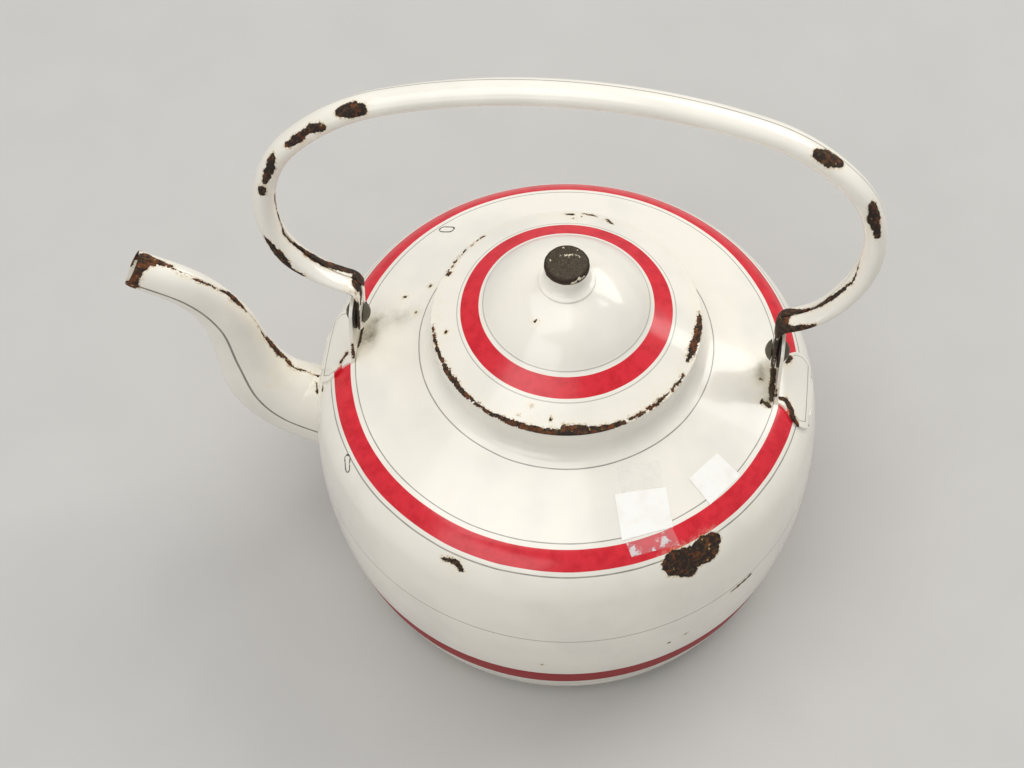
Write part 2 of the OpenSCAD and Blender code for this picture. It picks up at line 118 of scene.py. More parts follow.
class Recipe:
    """The nodes of one material."""

    def __init__(self, name):
        self.material = bpy.data.materials.new(name)
        self.material.use_nodes = True
        self.tree = self.material.node_tree
        self.tree.nodes.clear()
        self.place = None

    def add(self, kind, settings=None, sockets=None, output=0):
        node = self.tree.nodes.new(kind)
        for key, value in (settings or {}).items():
            setattr(node, key, value)
        for key, value in (sockets or {}).items():
            if isinstance(value, Wire):
                self.tree.links.new(value.output, node.inputs[key])
            else:
                node.inputs[key].default_value = value
        return Wire(self, node.outputs[output])

    def millimetres(self):
        """The point's place in the kettle's frame, in millimetres."""
        if self.place is None:
            here = self.add("ShaderNodeTexCoord", output="Object")
            self.place = self.add("ShaderNodeVectorMath", {"operation": "SCALE"},
                                  {0: here, "Scale": 1000.0})
        return self.place

    def parts(self):
        split = self.add("ShaderNodeSeparateXYZ", sockets={0: self.millimetres()})
        node = split.output.node
        return tuple(Wire(self, node.outputs[i]) for i in range(3))

    def radius(self):
        x, y, _ = self.parts()
        return (x * x + y * y) ** 0.5

    def grain(self, size, detail=2.0, rough=0.5, offset=0.0):
        """Noise from 0 to 1 whose lumps are about size millimetres across."""
        there = self.vector("ADD", self.millimetres(), (offset * 137.0, offset * 71.0, 0.0))
        return self.add("ShaderNodeTexNoise", {"noise_dimensions": "3D"},
                        {"Vector": there, "Scale": 1.0 / size, "Detail": detail,
                         "Roughness": rough})

    def vector(self, operation, first, second=None, output=0, scale=None):
        sockets = {0: first}
        if second is not None:
            sockets[1] = second
        if scale is not None:
            sockets["Scale"] = scale
        return self.add("ShaderNodeVectorMath", {"operation": operation}, sockets, output)

    def apart(self, strokes):
        """Millimetres from the edge of the nearest stroke. A stroke is its start, its end and
        its half width at each."""
        nearest = None
        for start, end, wide_0, wide_1 in strokes:
            away = self.vector("SUBTRACT", self.millimetres(), start)
            run = Vector(end) - Vector(start)
            if run.length > 0.01:
                along = self.vector("DOT_PRODUCT", away, tuple(run / run.length_squared), 1)
                share = self.add("ShaderNodeMath", {"operation": "MULTIPLY", "use_clamp": True},
                                 {0: along, 1: 1.0})
                foot = self.vector("SCALE", tuple(run), scale=share)
                away = self.vector("SUBTRACT", away, foot)
                gap = self.vector("LENGTH", away, output=1) - (share * (wide_1 - wide_0) + wide_0)
            else:
                gap = self.vector("LENGTH", away, output=1) - wide_0
            nearest = gap if nearest is None else nearest.lower(gap)
        return nearest

    def mark(self, name):
        """A measure that was stored on the vertices."""
        return self.add("ShaderNodeAttribute", {"attribute_name": name}, output="Fac")

    def step(self, value, low, high, smooth=True):
        """0 where value is at low, 1 where it is at high."""
        return self.add("ShaderNodeMapRange",
                        {"interpolation_type": "SMOOTHSTEP" if smooth else "LINEAR"},
                        {"Value": value, "From Min": low, "From Max": high})

    def line(self, value, middle, width, soft=0.12):
        """1 on a painted line of that width."""
        away = abs(value - middle)
        return self.step(away, width / 2 + soft, width / 2 - soft)

    def mix(self, amount, first, second, blend="MIX"):
        return self.add("ShaderNodeMix", {"data_type": "RGBA", "blend_type": blend},
                        {0: amount, 6: first, 7: second}, output=2)

    def bump(self, height, distance, strength=1.0, onto=None):
        """height runs from 0 to 1 and stands for distance millimetres."""
        sockets = {"Height": height, "Distance": distance * MM, "Strength": strength}
        if onto is not None:
            sockets["Normal"] = onto
        return self.add("ShaderNodeBump", sockets=sockets, output="Normal")

    def surface(self, **sockets):
        shader = self.add("ShaderNodeBsdfPrincipled",
                          sockets={k.replace("_", " "): v for k, v in sockets.items()})
        self.add_output(shader)
        return self.material

    def add_output(self, shader):
        end = self.tree.nodes.new("ShaderNodeOutputMaterial")
        self.tree.links.new(shader.output, end.inputs["Surface"])


IVORY, COOL_IVORY = shade(243, 238, 225), shade(226, 223, 213)
CREAM, STAIN = shade(238, 224, 190), shade(186, 150, 92)
RED, DEEP_RED = shade(218, 36, 50), shade(198, 16, 34)
LOW_SHADED_RED = shade(150, 8, 18)
PIN, INNER_GREY = shade(92, 84, 76), shade(188, 190, 186)
BURNT, RUST, OLIVE = shade(34, 19, 8), shade(104, 54, 16), shade(88, 68, 30)
TAN = shade(196, 158, 104)


def enamel(name, stripes=(), red_bands=(), chips=(), outlines=(), aged=0.5, pits=0.5,
           ragged=1.0, rusty=0.5, flaked=0.5, stripe_ink=0.85):
    """Glossy ivory enamel over sheet steel. stripes and red_bands are functions that take the
    recipe and give 0 to 1. chips are strokes where the steel is bare, outlines are strokes
    that only left a thin ring, aged is how yellow the glaze is, pits how many specks it has,
    ragged how torn the chips' edges are, rusty and flaked how brown and how flecked their
    ground is, and stripe_ink how dark the thin lines are."""
    r = Recipe(name)
    broad, fine = r.grain(46, 3, 0.55, 1.0), r.grain(7, 3, 0.6, 2.0)
    colour = r.mix(r.step(broad, 0.38, 0.72) * 0.7, IVORY, COOL_IVORY)
    colour = r.mix(r.step(r.grain(19, 4, 0.6, 3.0), 0.55, 0.85) * aged * 0.6, colour, CREAM)
    inner = r.mark("inner")
    colour = r.mix(inner * 0.75, colour, INNER_GREY)
    paint = 0.0
    for band in red_bands:
        amount = band(r) * (1 - inner)
        tone = r.mix(r.step(r.grain(6, 3, 0.6, 4.0), 0.35, 0.75), RED, DEEP_RED)
        # painted shade: the red darkens towards the bottom, below 60 mm, standing for the dark floor
        # reflected low on the body
        tone = r.mix(r.step(r.parts()[2], 60.0, 44.0), tone, LOW_SHADED_RED)
        colour = r.mix(amount, colour, tone)
        paint = amount + paint
    for stripe in stripes:
        ink = stripe(r) * (0.6 + fine * 0.5) * (1 - inner)
        colour = r.mix(ink * stripe_ink, colour, PIN)
    # pin-sized pits where the glaze has let go
    cells = r.add("ShaderNodeTexVoronoi", {"feature": "F1"},
                  {"Vector": r.millimetres(), "Scale": 1 / 17.0, "Randomness": 1.0})
    chosen = Wire(r, cells.output.node.outputs["Color"])
    size = r.add("ShaderNodeSeparateXYZ", sockets={0: chosen})
    reach = r.step(size, 1.0 - 0.30 * pits, 1.0, smooth=False) * 0.035
    pit = r.step(cells + (fine - 0.5) * 0.03, reach + 0.006, reach - 0.004)
    # bare patches: a torn outline, crust inside, a dark lip and a pale fired rim outside
    tear = (r.grain(3.6, 3, 0.6, 5.0) - 0.5) * (3.4 * ragged)
    tear = tear + (r.grain(0.9, 2, 0.5, 6.0) - 0.5) * (1.5 * ragged)
    gap = r.mark("bare")
    if chips:
        gap = gap.lower(r.apart(chips))
    edge = gap + tear
    bare = r.step(edge, 0.16, -0.16).upper(pit)
    rim = r.step(edge, 1.3, 0.1)
    halo = r.step(edge, 4.5, 0.2) * r.step(r.grain(2.2, 3, 0.6, 7.0), 0.35, 0.75)
    colour = r.mix(halo * 0.5, colour, CREAM)
    colour = r.mix(rim * r.step(r.grain(1.6, 3, 0.6, 8.0), 0.42, 0.62) * 0.7, colour, STAIN)
    crust = r.mix(r.step(r.grain(3.1, 4, 0.62, 9.0), 0.6 - 0.2 * rusty, 0.74 - 0.14 * rusty),
                  BURNT, RUST)
    crust = r.mix(r.step(r.grain(1.7, 3, 0.6, 10.0), 0.5, 0.7) * 0.7, crust, OLIVE)
    flakes = r.grain(3.4, 3, 0.6, 15.0)
    crust = r.mix(r.step(flakes, 0.74 - 0.14 * flaked, 0.78 - 0.14 * flaked) * 0.8, crust, TAN)
    crust = r.mix(r.step(edge, -0.6, -0.1) * 0.7, crust, BURNT)
    colour = r.mix(bare, colour, crust)
    if outlines:
        ring = r.line(r.apart(outlines) + tear * 0.3, 0.0, 0.75, 0.2)
        colour = r.mix(ring * r.step(r.grain(2.0, 2, 0.5, 14.0), 0.25, 0.45), colour, BURNT)
    # darkened spots: soot and grease, and in places painted shadow
    soot_and_shade = r.mark("soot_and_shade") * r.step(fine, 0.2, 0.7)
    colour = r.mix(soot_and_shade, colour, shade(112, 104, 78))
    heated = paint * r.step(r.parts()[2], 60.0, 44.0)
    gloss = 0.19 + (fine - 0.5) * 0.05 + soot_and_shade * 0.35 + heated * 0.5
    roughness = gloss * (1 - bare) + bare * 0.86
    rough_crust = r.grain(1.1, 5, 0.7, 11.0)
    peel = r.grain(9, 2, 0.5, 12.0)
    height = (1 - bare) * 0.55 + bare * rough_crust * 0.5 + paint * 0.04 + peel * 0.12
    return r.surface(Base_Color=colour, Roughness=roughness, IOR=1.52,
                     Coat_Weight=(1 - bare) * 0.3 * (1 - paint * 0.8), Coat_Roughness=0.06,
                     Normal=r.bump(height, 0.45))


def on_height(middle, width, low=-1e3, high=1e3, radial=False):
    """A painted ring at one height, or one radius, that keeps to a range of heights."""
    def draw(r):
        _, _, z = r.parts()
        value = r.radius() if radial else z
        sway = (r.grain(30, 2, 0.5, 13.0) - 0.5) * 0.7
        return r.line(value + sway, middle, width) * r.step(z, low - 0.01, low + 0.01) \
            * r.step(z, high + 0.01, high - 0.01)
    return draw


def worn_steel(name, base, rust_share=0.4, shine=0.5):
    r = Recipe(name)
    scale = r.grain(3.0, 5, 0.65, 1.0)
    fine = r.grain(0.6, 3, 0.6, 2.0)
    colour = r.mix(r.step(fine, 0.3, 0.8), base, shade(52, 48, 40))
    colour = r.mix(r.step(scale, 0.72 - 0.3 * rust_share, 0.86) * 0.8, colour, RUST)
    roughness = 0.42 + r.step(scale, 0.3, 0.8) * 0.35
    return r.surface(Base_Color=colour, Roughness=roughness,
                     Metallic=r.step(scale, 0.75, 0.45) * shine,
                     Normal=r.bump(scale * 0.7 + fine * 0.3, 0.22))


def rubbed_cap(name, flecks):
    """The knob's cap, rubbed down to brown steel with flecks of enamel left on it."""
    r = Recipe(name)
    speckle, lumps = r.grain(0.7, 4, 0.65, 1.0), r.grain(3.2, 4, 0.6, 2.0)
    colour = r.mix(r.step(speckle, 0.35, 0.7), shade(50, 40, 27), shade(88, 78, 60))
    colour = r.mix(r.step(lumps, 0.5, 0.75) * 0.6, colour, shade(56, 36, 20))
    colour = r.mix(r.step(r.radius(), 8.8, 10.3) * 0.75, colour, shade(42, 20, 9))
    ragged = (r.grain(1.1, 3, 0.6, 3.0) - 0.5) * 2.6
    left = r.step(r.apart(flecks) + ragged, 0.12, -0.12)
    colour = r.mix(left, colour, r.mix(speckle, CREAM, shade(214, 206, 186)))
    return r.surface(Base_Color=colour, Roughness=0.62 - left * 0.3 + lumps * 0.12,
                     Metallic=(1 - left) * 0.25,
                     Normal=r.bump(speckle * 0.35 + lumps * 0.3 + left * 0.35, 0.3))


def paper(name):
    r = Recipe(name)
    fibre = r.grain(0.5, 4, 0.6, 1.0)
    colour = r.mix(r.step(r.grain(9, 3, 0.5, 2.0), 0.42, 0.75) * 0.8,
                   shade(246, 244, 238), shade(236, 233, 223))
    colour = r.mix(r.step(fibre, 0.6, 0.85) * 0.12, colour, shade(214, 212, 205))
    return r.surface(Base_Color=colour, Roughness=0.55 + fibre * 0.15,
                     Normal=r.bump(fibre, 0.03))


def clear_film(name, folds):
    """Thin clear film. folds is how white its creases are: whitened creases, partly painted glints.
    """
    r = Recipe(name)
    crease = r.grain(5, 4, 0.6, 1.0)
    # white, more opaque creases: partly whitened film, partly painted glints
    creases_and_glints = r.step(crease, 0.5, 0.62) * folds
    return r.surface(Base_Color=r.mix(crease, shade(255, 255, 255), shade(242, 240, 236)),
                     Roughness=0.05 + crease * 0.08, Alpha=0.07 + creases_and_glints * 0.5,
                     Normal=r.bump(crease, 0.5 * folds))


# ---------------------------------------------------------------- mesh makers
def arc(centre, radius, start, end, steps):
    a = np.radians(np.linspace(start, end, steps + 1))
    return np.column_stack((centre[0] + radius * np.cos(a), centre[1] + radius * np.sin(a)))


def straight(start, end, steps):
    """Points after start up to end."""
    t = np.linspace(0, 1, steps + 1)[1:, None]
    return np.asarray(start) * (1 - t) + np.asarray(end) * t


def grid(rows, cols, round_rows=False, round_cols=False):
    i = np.arange(rows if round_rows else rows - 1)[:, None]
    j = np.arange(cols if round_cols else cols - 1)[None, :]
    i2, j2 = (i + 1) % rows, (j + 1) % cols
    return np.stack((i * cols + j, i * cols + j2, i2 * cols + j2, i2 * cols + j),
                    -1).reshape(-1, 4).tolist()


def piece(name, points, faces, body, material, nodes=(), sharp=40):
    """Makes the mesh, joins doubled points, gives it its material and hands the piece to its body."""
    mesh = bpy.data.meshes.new(name)
    mesh.from_pydata((np.asarray(points, float).reshape(-1, 3) * MM).tolist(), [], faces)
    work = bmesh.new()
    work.from_mesh(mesh)
    bmesh.ops.remove_doubles(work, verts=work.verts, dist=2e-7)
    bmesh.ops.dissolve_degenerate(work, edges=work.edges, dist=1e-8)
    bmesh.ops.recalc_face_normals(work, faces=work.faces)
    work.to_mesh(mesh)
    work.free()
    obj = bpy.data.objects.new(name, mesh)
    bpy.context.scene.collection.objects.link(obj)
    smooth(obj, sharp)
    mesh.materials.append(material)
    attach(obj, body)
    if nodes:
        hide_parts(*nodes)
    return obj


def smooth(obj, sharp):
    obj.data.shade_smooth()
    obj.data.set_sharp_from_angle(angle=math.radians(sharp))


def settle(obj):
    """Applies the modifiers of a piece to its mesh."""
    graph = bpy.context.evaluated_depsgraph_get()
    graph.update()
    made = bpy.data.meshes.new_from_object(obj.evaluated_get(graph))
    obj.modifiers.clear()
    obj.data = made


def cut(obj, points, faces):
    """Takes a closed shape out of a piece."""
    mesh = bpy.data.meshes.new("cutter")
    mesh.from_pydata((np.asarray(points, float).reshape(-1, 3) * MM).tolist(), [], faces)
    cutter = bpy.data.objects.new("cutter", mesh)
    bpy.context.scene.collection.objects.link(cutter)
    tool = obj.modifiers.new("cut", "BOOLEAN")
    tool.operation, tool.solver, tool.object = "DIFFERENCE", "EXACT", cutter
    settle(obj)
    bpy.data.objects.remove(cutter)


def rod(start, end, radius, steps=64):
    """A closed cylinder between two points."""
    start, end = Vector(start), Vector(end)
    turn = (end - start).to_track_quat("Z", "Y").to_matrix()
    ring = [turn @ Vector((radius * math.cos(a), radius * math.sin(a), 0))
            for a in np.radians(np.arange(steps) * 360 / steps)]
    points = [tuple(start + p) for p in ring] + [tuple(end + p) for p in ring]
    faces = grid(2, steps, round_cols=True)
    return points, faces + [list(range(steps))[::-1], list(range(steps, 2 * steps))]


def turned(outline, steps=288, turn=None):
    """Points and faces of a closed outline, (radius, height), turned about the Z axis."""
    a = np.radians(np.arange(steps) * 360 / steps)
    outline = np.asarray(outline, float)
    points = np.stack((outline[:, :1] * np.cos(a), outline[:, :1] * np.sin(a),
                       np.repeat(outline[:, 1:], steps, 1)), -1)
    if turn is not None:
        points = turn(points)
    return points, grid(len(outline), steps, round_rows=True, round_cols=True)


def rippled(points, amount, size, seed):
    """Pushes points in and out along their radius, as hand-dipped sheet is never true."""
    flat = points.reshape(-1, 3)
    lift = np.array([noise.noise(Vector(p) / size + Vector((seed, 0, seed))) for p in flat])
    away = flat * (1, 1, 0)
    away /= np.maximum(np.linalg.norm(away, axis=1, keepdims=True), 1e-6)
    return (flat + away * (lift * amount)[:, None]).reshape(points.shape)


def places(obj):
    co = np.empty(len(obj.data.vertices) * 3)
    obj.data.vertices.foreach_get("co", co)
    return co.reshape(-1, 3) / MM


def store(obj, name, values):
    layer = obj.data.attributes.get(name) or obj.data.attributes.new(name, "FLOAT", "POINT")
    layer.data.foreach_set("value", np.asarray(values, np.float32))


def wear(obj, scars=(), extra=None, soot_and_shade=()):
    """Stores how far each vertex lies from bare ground. scars are strokes, extra gives the
    distance from any further ground, and the last argument gives dark spots, each (centre, reach,
    strength): soot and grease, and in places painted shadow."""
    at = places(obj)
    far = np.full(len(at), 30.0)
    for start, end, wide_0, wide_1 in scars:
        run = np.subtract(end, start)
        share = np.clip((at - start) @ run / max(run @ run, 1e-4), 0, 1)
        gap = np.linalg.norm(at - start - share[:, None] * run, axis=1)
        far = np.minimum(far, gap - (wide_0 + (wide_1 - wide_0) * share))
    if extra is not None:
        far = np.minimum(far, extra(at))
    store(obj, "bare", far)
    dark = np.zeros(len(at))
    for centre, reach, strength in soot_and_shade:
        away = (at - np.asarray(centre)) / np.asarray(reach)
        dark = np.maximum(dark, strength * np.exp(-(away ** 2).sum(1)))
    store(obj, "soot_and_shade", dark)


# ---------------------------------------------------------------- the kettle's own curve
WALL = 1.2
BELLY_R, BELLY_Z = 127.6, 86.0
LOW = ((-100.4, 86.0), 228.0)
MID = ((-67.4, 86.0), 195.0)
MID_END, TURN_END = 10.2, 66.4
TURN = ((MID[0][0] + 162.2 * math.cos(math.radians(MID_END)),
         MID[0][1] + 162.2 * math.sin(math.radians(MID_END))), 32.8)
SHOULDER = (TURN[0][0] + 32.8 * math.cos(math.radians(TURN_END)),
            TURN[0][1] + 32.8 * math.sin(math.radians(TURN_END)))
CONE = math.tan(math.radians(23.6))
NECK_R, FILLET = 64.6, 8.0
FILLET_AT = (NECK_R + FILLET, SHOULDER[1] + (SHOULDER[0] - NECK_R - FILLET) * CONE
             + FILLET / math.cos(math.radians(23.6)))
BEAD_R, BEAD = 1.6, (NECK_R - 1.6, FILLET_AT[1] + 9.0)
PAN_Z, HEEL_R = 16.0, 12.0


def low_angle(z):
    return math.degrees(math.asin((z - LOW[0][1]) / LOW[1]))


def skin(out, z0):
    """The body's curve from height z0 to the top of the neck's fillet, moved out."""
    low = arc(LOW[0], LOW[1] + out, low_angle(z0), 0, 52)
    mid = arc(MID[0], MID[1] + out, 0, MID_END, 22)[1:]
    turn = arc(TURN[0], TURN[1] + out, MID_END, TURN_END, 30)[1:]
    end = arc(FILLET_AT, out - FILLET, TURN_END, 0, 14)
    return np.vstack((low, mid, turn, straight(turn[-1], end[0], 22)[:-1], end))


def skin_radius(z):
    """Radius of the outer skin at heights z below the shoulder's cone."""
    z = np.asarray(z, float)
    low = LOW[0][0] + np.sqrt(LOW[1] ** 2 - np.minimum(z - LOW[0][1], 0) ** 2)
    mid = MID[0][0] + np.sqrt(MID[1] ** 2 - np.maximum(z - MID[0][1], 0) ** 2)
    turn = TURN[0][0] + np.sqrt(np.maximum(TURN[1] ** 2 - (z - TURN[0][1]) ** 2, 0))
    return np.where(z < BELLY_Z, low, np.where(z < TURN[0][1], mid, turn))


def skin_height(r):
    """Height of the outer skin at radii r of the shoulder."""
    r = np.asarray(r, float)
    turn = TURN[0][1] + np.sqrt(np.maximum(TURN[1] ** 2 - (r - TURN[0][0]) ** 2, 0))
    return np.where(r < SHOULDER[0], SHOULDER[1] + (SHOULDER[0] - r) * CONE, turn)


# ---------------------------------------------------------------- finishes
def dots(*spots):
    """Round specks, each a place and a radius."""
    return [(at, at, radius, radius) for at, radius in spots]


def strokes(*lines):
    """Long scars, each a list of (place, half width) joined end to end."""
    return [(a[0], b[0], a[1], b[1]) for line in lines for a, b in zip(line, line[1:])]


BODY_CHIPS = strokes(
    [((62.3, -101.2, 134.0), 6.2), ((66.9, -99.3, 132.6), 7.4), ((71.9, -96.0, 132.4), 6.4),
     ((76.7, -91.9, 132.7), 7.4), ((79.2, -88.2, 134.4), 4.6)],
    [((61.7, -103.8, 130.9), 3.0), ((70.2, -100.7, 126.8), 4.0)],
    [((-46.0, -110.9, 132.5), 1.0), ((-39.5, -112.3, 133.5), 1.5), ((-37.0, -114.6, 131.2), 1.6)],
    [((102.2, 3.5, 146.6), 1.5), ((102.0, -5.4, 146.4), 1.8), ((101.8, -13.2, 146.2), 1.2)],
    [((-103.2, 9.8, 145.6), 0.7), ((-102.9, 3.4, 145.8), 1.1), ((-103.2, -4.0, 145.8), 1.3),
     ((-107.5, -8.5, 144.6), 1.3)],
    [((97.5, -16.0, 147.6), 1.5), ((100.6, -17.1, 146.2), 1.2)],
    [((-121.5, -17.4, 130.6), 0.9), ((-119.7, -22.2, 129.0), 0.7)],
    [((92.2, -88.1, 86.4), 0.8), ((100.0, -79.3, 87.1), 1.1)]
) + dots(((71.7, -104.6, 67.1), 0.8), ((63.8, -109.4, 64.9), 0.7), ((2.3, -126.0, 59.7), 0.8),
         ((-70.9, 27.1, 157.6), 0.8), ((-83.4, 22.2, 153.1), 0.9), ((-75.8, 10.6, 157.4), 0.7),
         ((96.0, -3.9, 148.8), 0.9))
BACK_CHIPS = strokes(
    [((47.0, 113.6, 124.0), 1.8), ((53.0, 111.4, 121.0), 1.2)],
    [((-22.0, 125.6, 78.0), 1.0), ((-17.0, 126.2, 74.0), 1.5)],
    [((124.6, 25.0, 60.0), 1.3), ((125.4, 20.0, 55.0), 0.9)])
BODY_RINGS = strokes([((-99.6, -63.4, 135.0), 2.0), ((-99.0, -67.6, 132.4), 1.6)],
                     [((-71.4, 71.0, 146.8), 2.0), ((-67.8, 70.4, 148.2), 2.2)])
LID_CHIPS = strokes(
    [((-62.9, -11.4, 179.9), 0.5), ((-60.9, -19.9, 179.8), 0.7), ((-56.7, -29.2, 179.9), 1.0),
     ((-50.5, -39.3, 179.8), 1.4), ((-43.2, -47.4, 179.7), 1.1), ((-35.3, -53.7, 179.7), 0.6),
     ((-29.1, -57.4, 179.6), 0.8), ((-20.3, -60.9, 179.7), 1.3), ((-9.7, -63.5, 179.7), 1.5),
     ((0.7, -64.9, 179.4), 2.0), ((11.2, -63.7, 179.5), 2.2), ((22.5, -60.3, 179.6), 1.9),
     ((32.3, -55.9, 179.6), 1.0), ((40.1, -50.2, 179.7), 0.8), ((46.5, -44.0, 179.8), 0.8),
     ((52.0, -37.3, 179.9), 0.5)],
    [((5.6, -62.7, 180.4), 2.0), ((14.7, -61.2, 180.4), 1.8)],
    [((63.1, 10.3, 179.8), 0.7), ((63.6, 2.7, 180.0), 1.7), ((62.7, -5.2, 180.4), 2.3),
     ((60.9, -12.6, 180.8), 1.9), ((59.4, -18.5, 180.8), 0.7)],
    [((58.2, -26.5, 179.9), 0.9), ((53.8, -35.3, 179.7), 0.9)],
    [((-6.6, 61.6, 180.6), 0.9), ((-4.0, 61.6, 180.7), 1.1)],
    [((1.7, 63.2, 180.1), 0.3), ((5.6, 62.7, 180.4), 1.0), ((8.2, 61.8, 180.7), 0.6)],
    [((13.3, 60.2, 181.2), 0.8), ((16.5, 57.0, 182.4), 0.8)],
    [((-61.6, 18.0, 180.3), 0.7), ((-55.5, 32.0, 180.3), 0.6), ((-46.0, 44.5, 180.3), 0.4)],
) + dots(((-59.2, 19.3, 180.7), 1.6), ((-55.7, -16.6, 183.0), 0.7),
         ((-15.6, -58.5, 181.6), 0.7), ((-10.0, -54.2, 184.6), 0.45),
         ((-1.1, -59.0, 182.5), 0.7), ((-12.3, -21.5, 205.9), 0.8),
         ((-2.4, 57.6, 183.1), 0.8), ((0.6, 60.2, 181.8), 0.8))
SPOUT_CHIPS = strokes(
    [((-215.5, -6.0, 181.0), 3.0), ((-210.5, -7.5, 187.0), 4.4), ((-207.5, -3.0, 195.0), 4.8),
     ((-203.3, 1.2, 196.0), 4.2), ((-200.3, 0.1, 194.4), 2.2)],
    [((-214.5, 6.0, 184.0), 1.6), ((-208.5, 6.5, 192.0), 2.6)],
    [((-201.6, 2.0, 194.9), 1.8), ((-195.5, 1.4, 192.6), 1.5), ((-191.3, 1.3, 190.9), 0.7)],
    [((-191.3, 0.5, 190.9), 0.25), ((-183.2, -1.5, 186.9), 0.3), ((-179.0, -1.1, 184.5), 1.0),
     ((-175.0, -0.9, 181.5), 0.3), ((-168.7, 0.1, 175.3), 0.3), ((-165.4, 0.9, 171.4), 1.7),
     ((-162.0, 0.5, 166.5), 1.7), ((-159.4, -0.2, 161.9), 0.5), ((-156.5, 0.0, 153.5), 0.2),
     ((-152.8, -0.6, 142.6), 0.3), ((-150.2, 0.9, 132.8), 2.0), ((-147.3, 0.5, 125.8), 2.2),
     ((-144.7, 1.8, 119.7), 1.0), ((-142.3, 0.4, 115.7), 1.7), ((-139.5, 0.1, 112.0), 0.6),
     ((-135.3, 1.1, 109.3), 0.3), ((-127.7, -0.6, 108.4), 0.7)],
    [((-128.2, -4.4, 107.5), 0.5), ((-127.2, -8.6, 104.8), 0.5)]) + dots(
    ((-170.5, -7.5, 152.0), 0.5), ((-152.0, -13.5, 113.0), 0.5))
CAP_FLECKS = strokes(
    [((-3.4, 3.2, 225.0), 0.5), ((-0.4, 3.5, 225.0), 0.7), ((2.6, 4.0, 225.0), 0.5),
     ((5.6, 3.4, 225.0), 0.3)],
    [((-1.0, 3.0, 225.0), 0.6), ((1.4, 2.7, 225.0), 0.5)],
    [((-9.4, 0.4, 224.0), 0.4), ((-7.2, -0.2, 225.0), 0.6)],
    [((-10.2, -3.0, 222.5), 0.6), ((-9.6, -5.0, 222.0), 0.4)],
    [((3.6, -9.6, 222.5), 0.9), ((6.6, -7.6, 223.5), 0.7), ((8.6, -5.6, 223.0), 0.4)]) + dots(
    ((1.4, -2.2, 225.0), 0.35), ((8.9, 2.0, 224.0), 0.45), ((-2.6, 7.8, 225.0), 0.3),
    ((4.2, 7.4, 225.0), 0.3))
# places of the bail's chips are those of the bail at rest
BAIL_CHIPS = strokes(
    [((-103.7, 23.3, 290.1), 2.8), ((-99.0, 23.4, 291.9), 3.7), ((-94.4, 23.1, 293.2), 2.8)],
    [((-120.8, 19.0, 278.6), 1.4), ((-117.5, 19.7, 281.0), 2.2), ((-112.7, 19.3, 282.7), 2.4)],
    [((-128.5, 16.9, 271.2), 1.5), ((-122.7, 18.2, 276.6), 2.2)],
    [((-136.0, 15.4, 264.2), 1.8), ((-137.5, 13.1, 259.0), 2.4), ((-139.9, 10.9, 251.2), 1.6)],
    [((-141.9, 9.8, 246.5), 1.9), ((-142.1, 9.3, 244.9), 1.9)],
    [((-142.7, 3.3, 218.9), 0.8), ((-140.4, 2.0, 214.4), 1.6), ((-137.1, 0.6, 209.5), 2.5),
     ((-134.4, -0.2, 204.7), 2.1), ((-131.6, -0.3, 199.7), 1.6), ((-126.2, -1.6, 197.6), 1.1)],
    [((-135.4, 8.2, 217.7), 0.6), ((-130.9, 8.0, 209.2), 1.1), ((-125.6, 8.0, 203.3), 2.2),
     ((-119.7, 8.2, 198.2), 2.7), ((-113.7, 9.2, 194.0), 3.1), ((-108.1, 11.0, 191.0), 3.6),
     ((-103.4, 11.0, 189.0), 3.8), ((-100.0, 8.0, 185.5), 3.2), ((-99.4, 11.5, 176.0), 1.1)],
    [((-102.2, 3.6, 187.6), 2.4), ((-99.8, 0.6, 184.0), 2.0), ((-99.5, -2.6, 180.0), 1.2)],
    [((-101.0, 8.5, 189.5), 3.8), ((-100.8, 2.5, 188.2), 3.4)],
    [((-106.0, -1.8, 189.6), 0.9), ((-102.6, -3.0, 187.2), 1.5)],
    [((-100.6, -9.2, 166.0), 1.6), ((-100.6, -7.5, 175.0), 1.9), ((-101.5, -5.8, 184.0), 1.9),
     ((-104.5, -3.0, 188.0), 1.2)],
    [((107.3, 25.1, 286.2), 2.8), ((111.9, 25.6, 283.8), 4.0), ((117.0, 26.3, 280.6), 2.7)],
    [((134.4, 18.5, 261.7), 2.4), ((135.8, 16.0, 256.4), 3.4), ((138.5, 13.4, 247.0), 1.4)],
    [((131.2, 8.9, 217.6), 0.6), ((128.6, 8.5, 213.1), 0.9), ((122.7, 7.4, 204.9), 1.5),
     ((118.6, 6.9, 200.1), 1.1), ((114.4, 6.5, 195.9), 1.1), ((110.1, 7.1, 192.7), 1.4),
     ((105.0, 9.0, 190.6), 3.2), ((100.4, 8.0, 187.0), 4.4), ((100.2, -1.0, 186.0), 3.4)],
    [((101.4, -2.5, 188.6), 3.2), ((106.8, -3.4, 190.6), 3.3), ((112.7, -3.6, 193.0), 2.9),
     ((117.2, -2.6, 195.2), 1.5)],
    [((101.2, 6.5, 190.0), 4.2), ((101.8, -2.0, 188.4), 3.8)],
    [((-137.9, 13.6, 238.2), 0.4), ((-138.0, 13.4, 230.3), 0.5), ((-137.2, 12.0, 224.0), 0.5),
     ((-136.3, 10.6, 219.2), 0.5), ((-135.1, 8.7, 217.1), 0.6)],
    [((131.2, 8.9, 217.6), 0.6), ((132.4, 11.2, 222.1), 0.5), ((133.1, 14.5, 226.5), 0.3)],
    [((99.5, -7.0, 165.0), 3.2), ((99.6, -4.0, 183.0), 2.8)],
    [((99.5, 2.4, 162.0), 3.2), ((99.5, 6.5, 182.0), 3.6)])
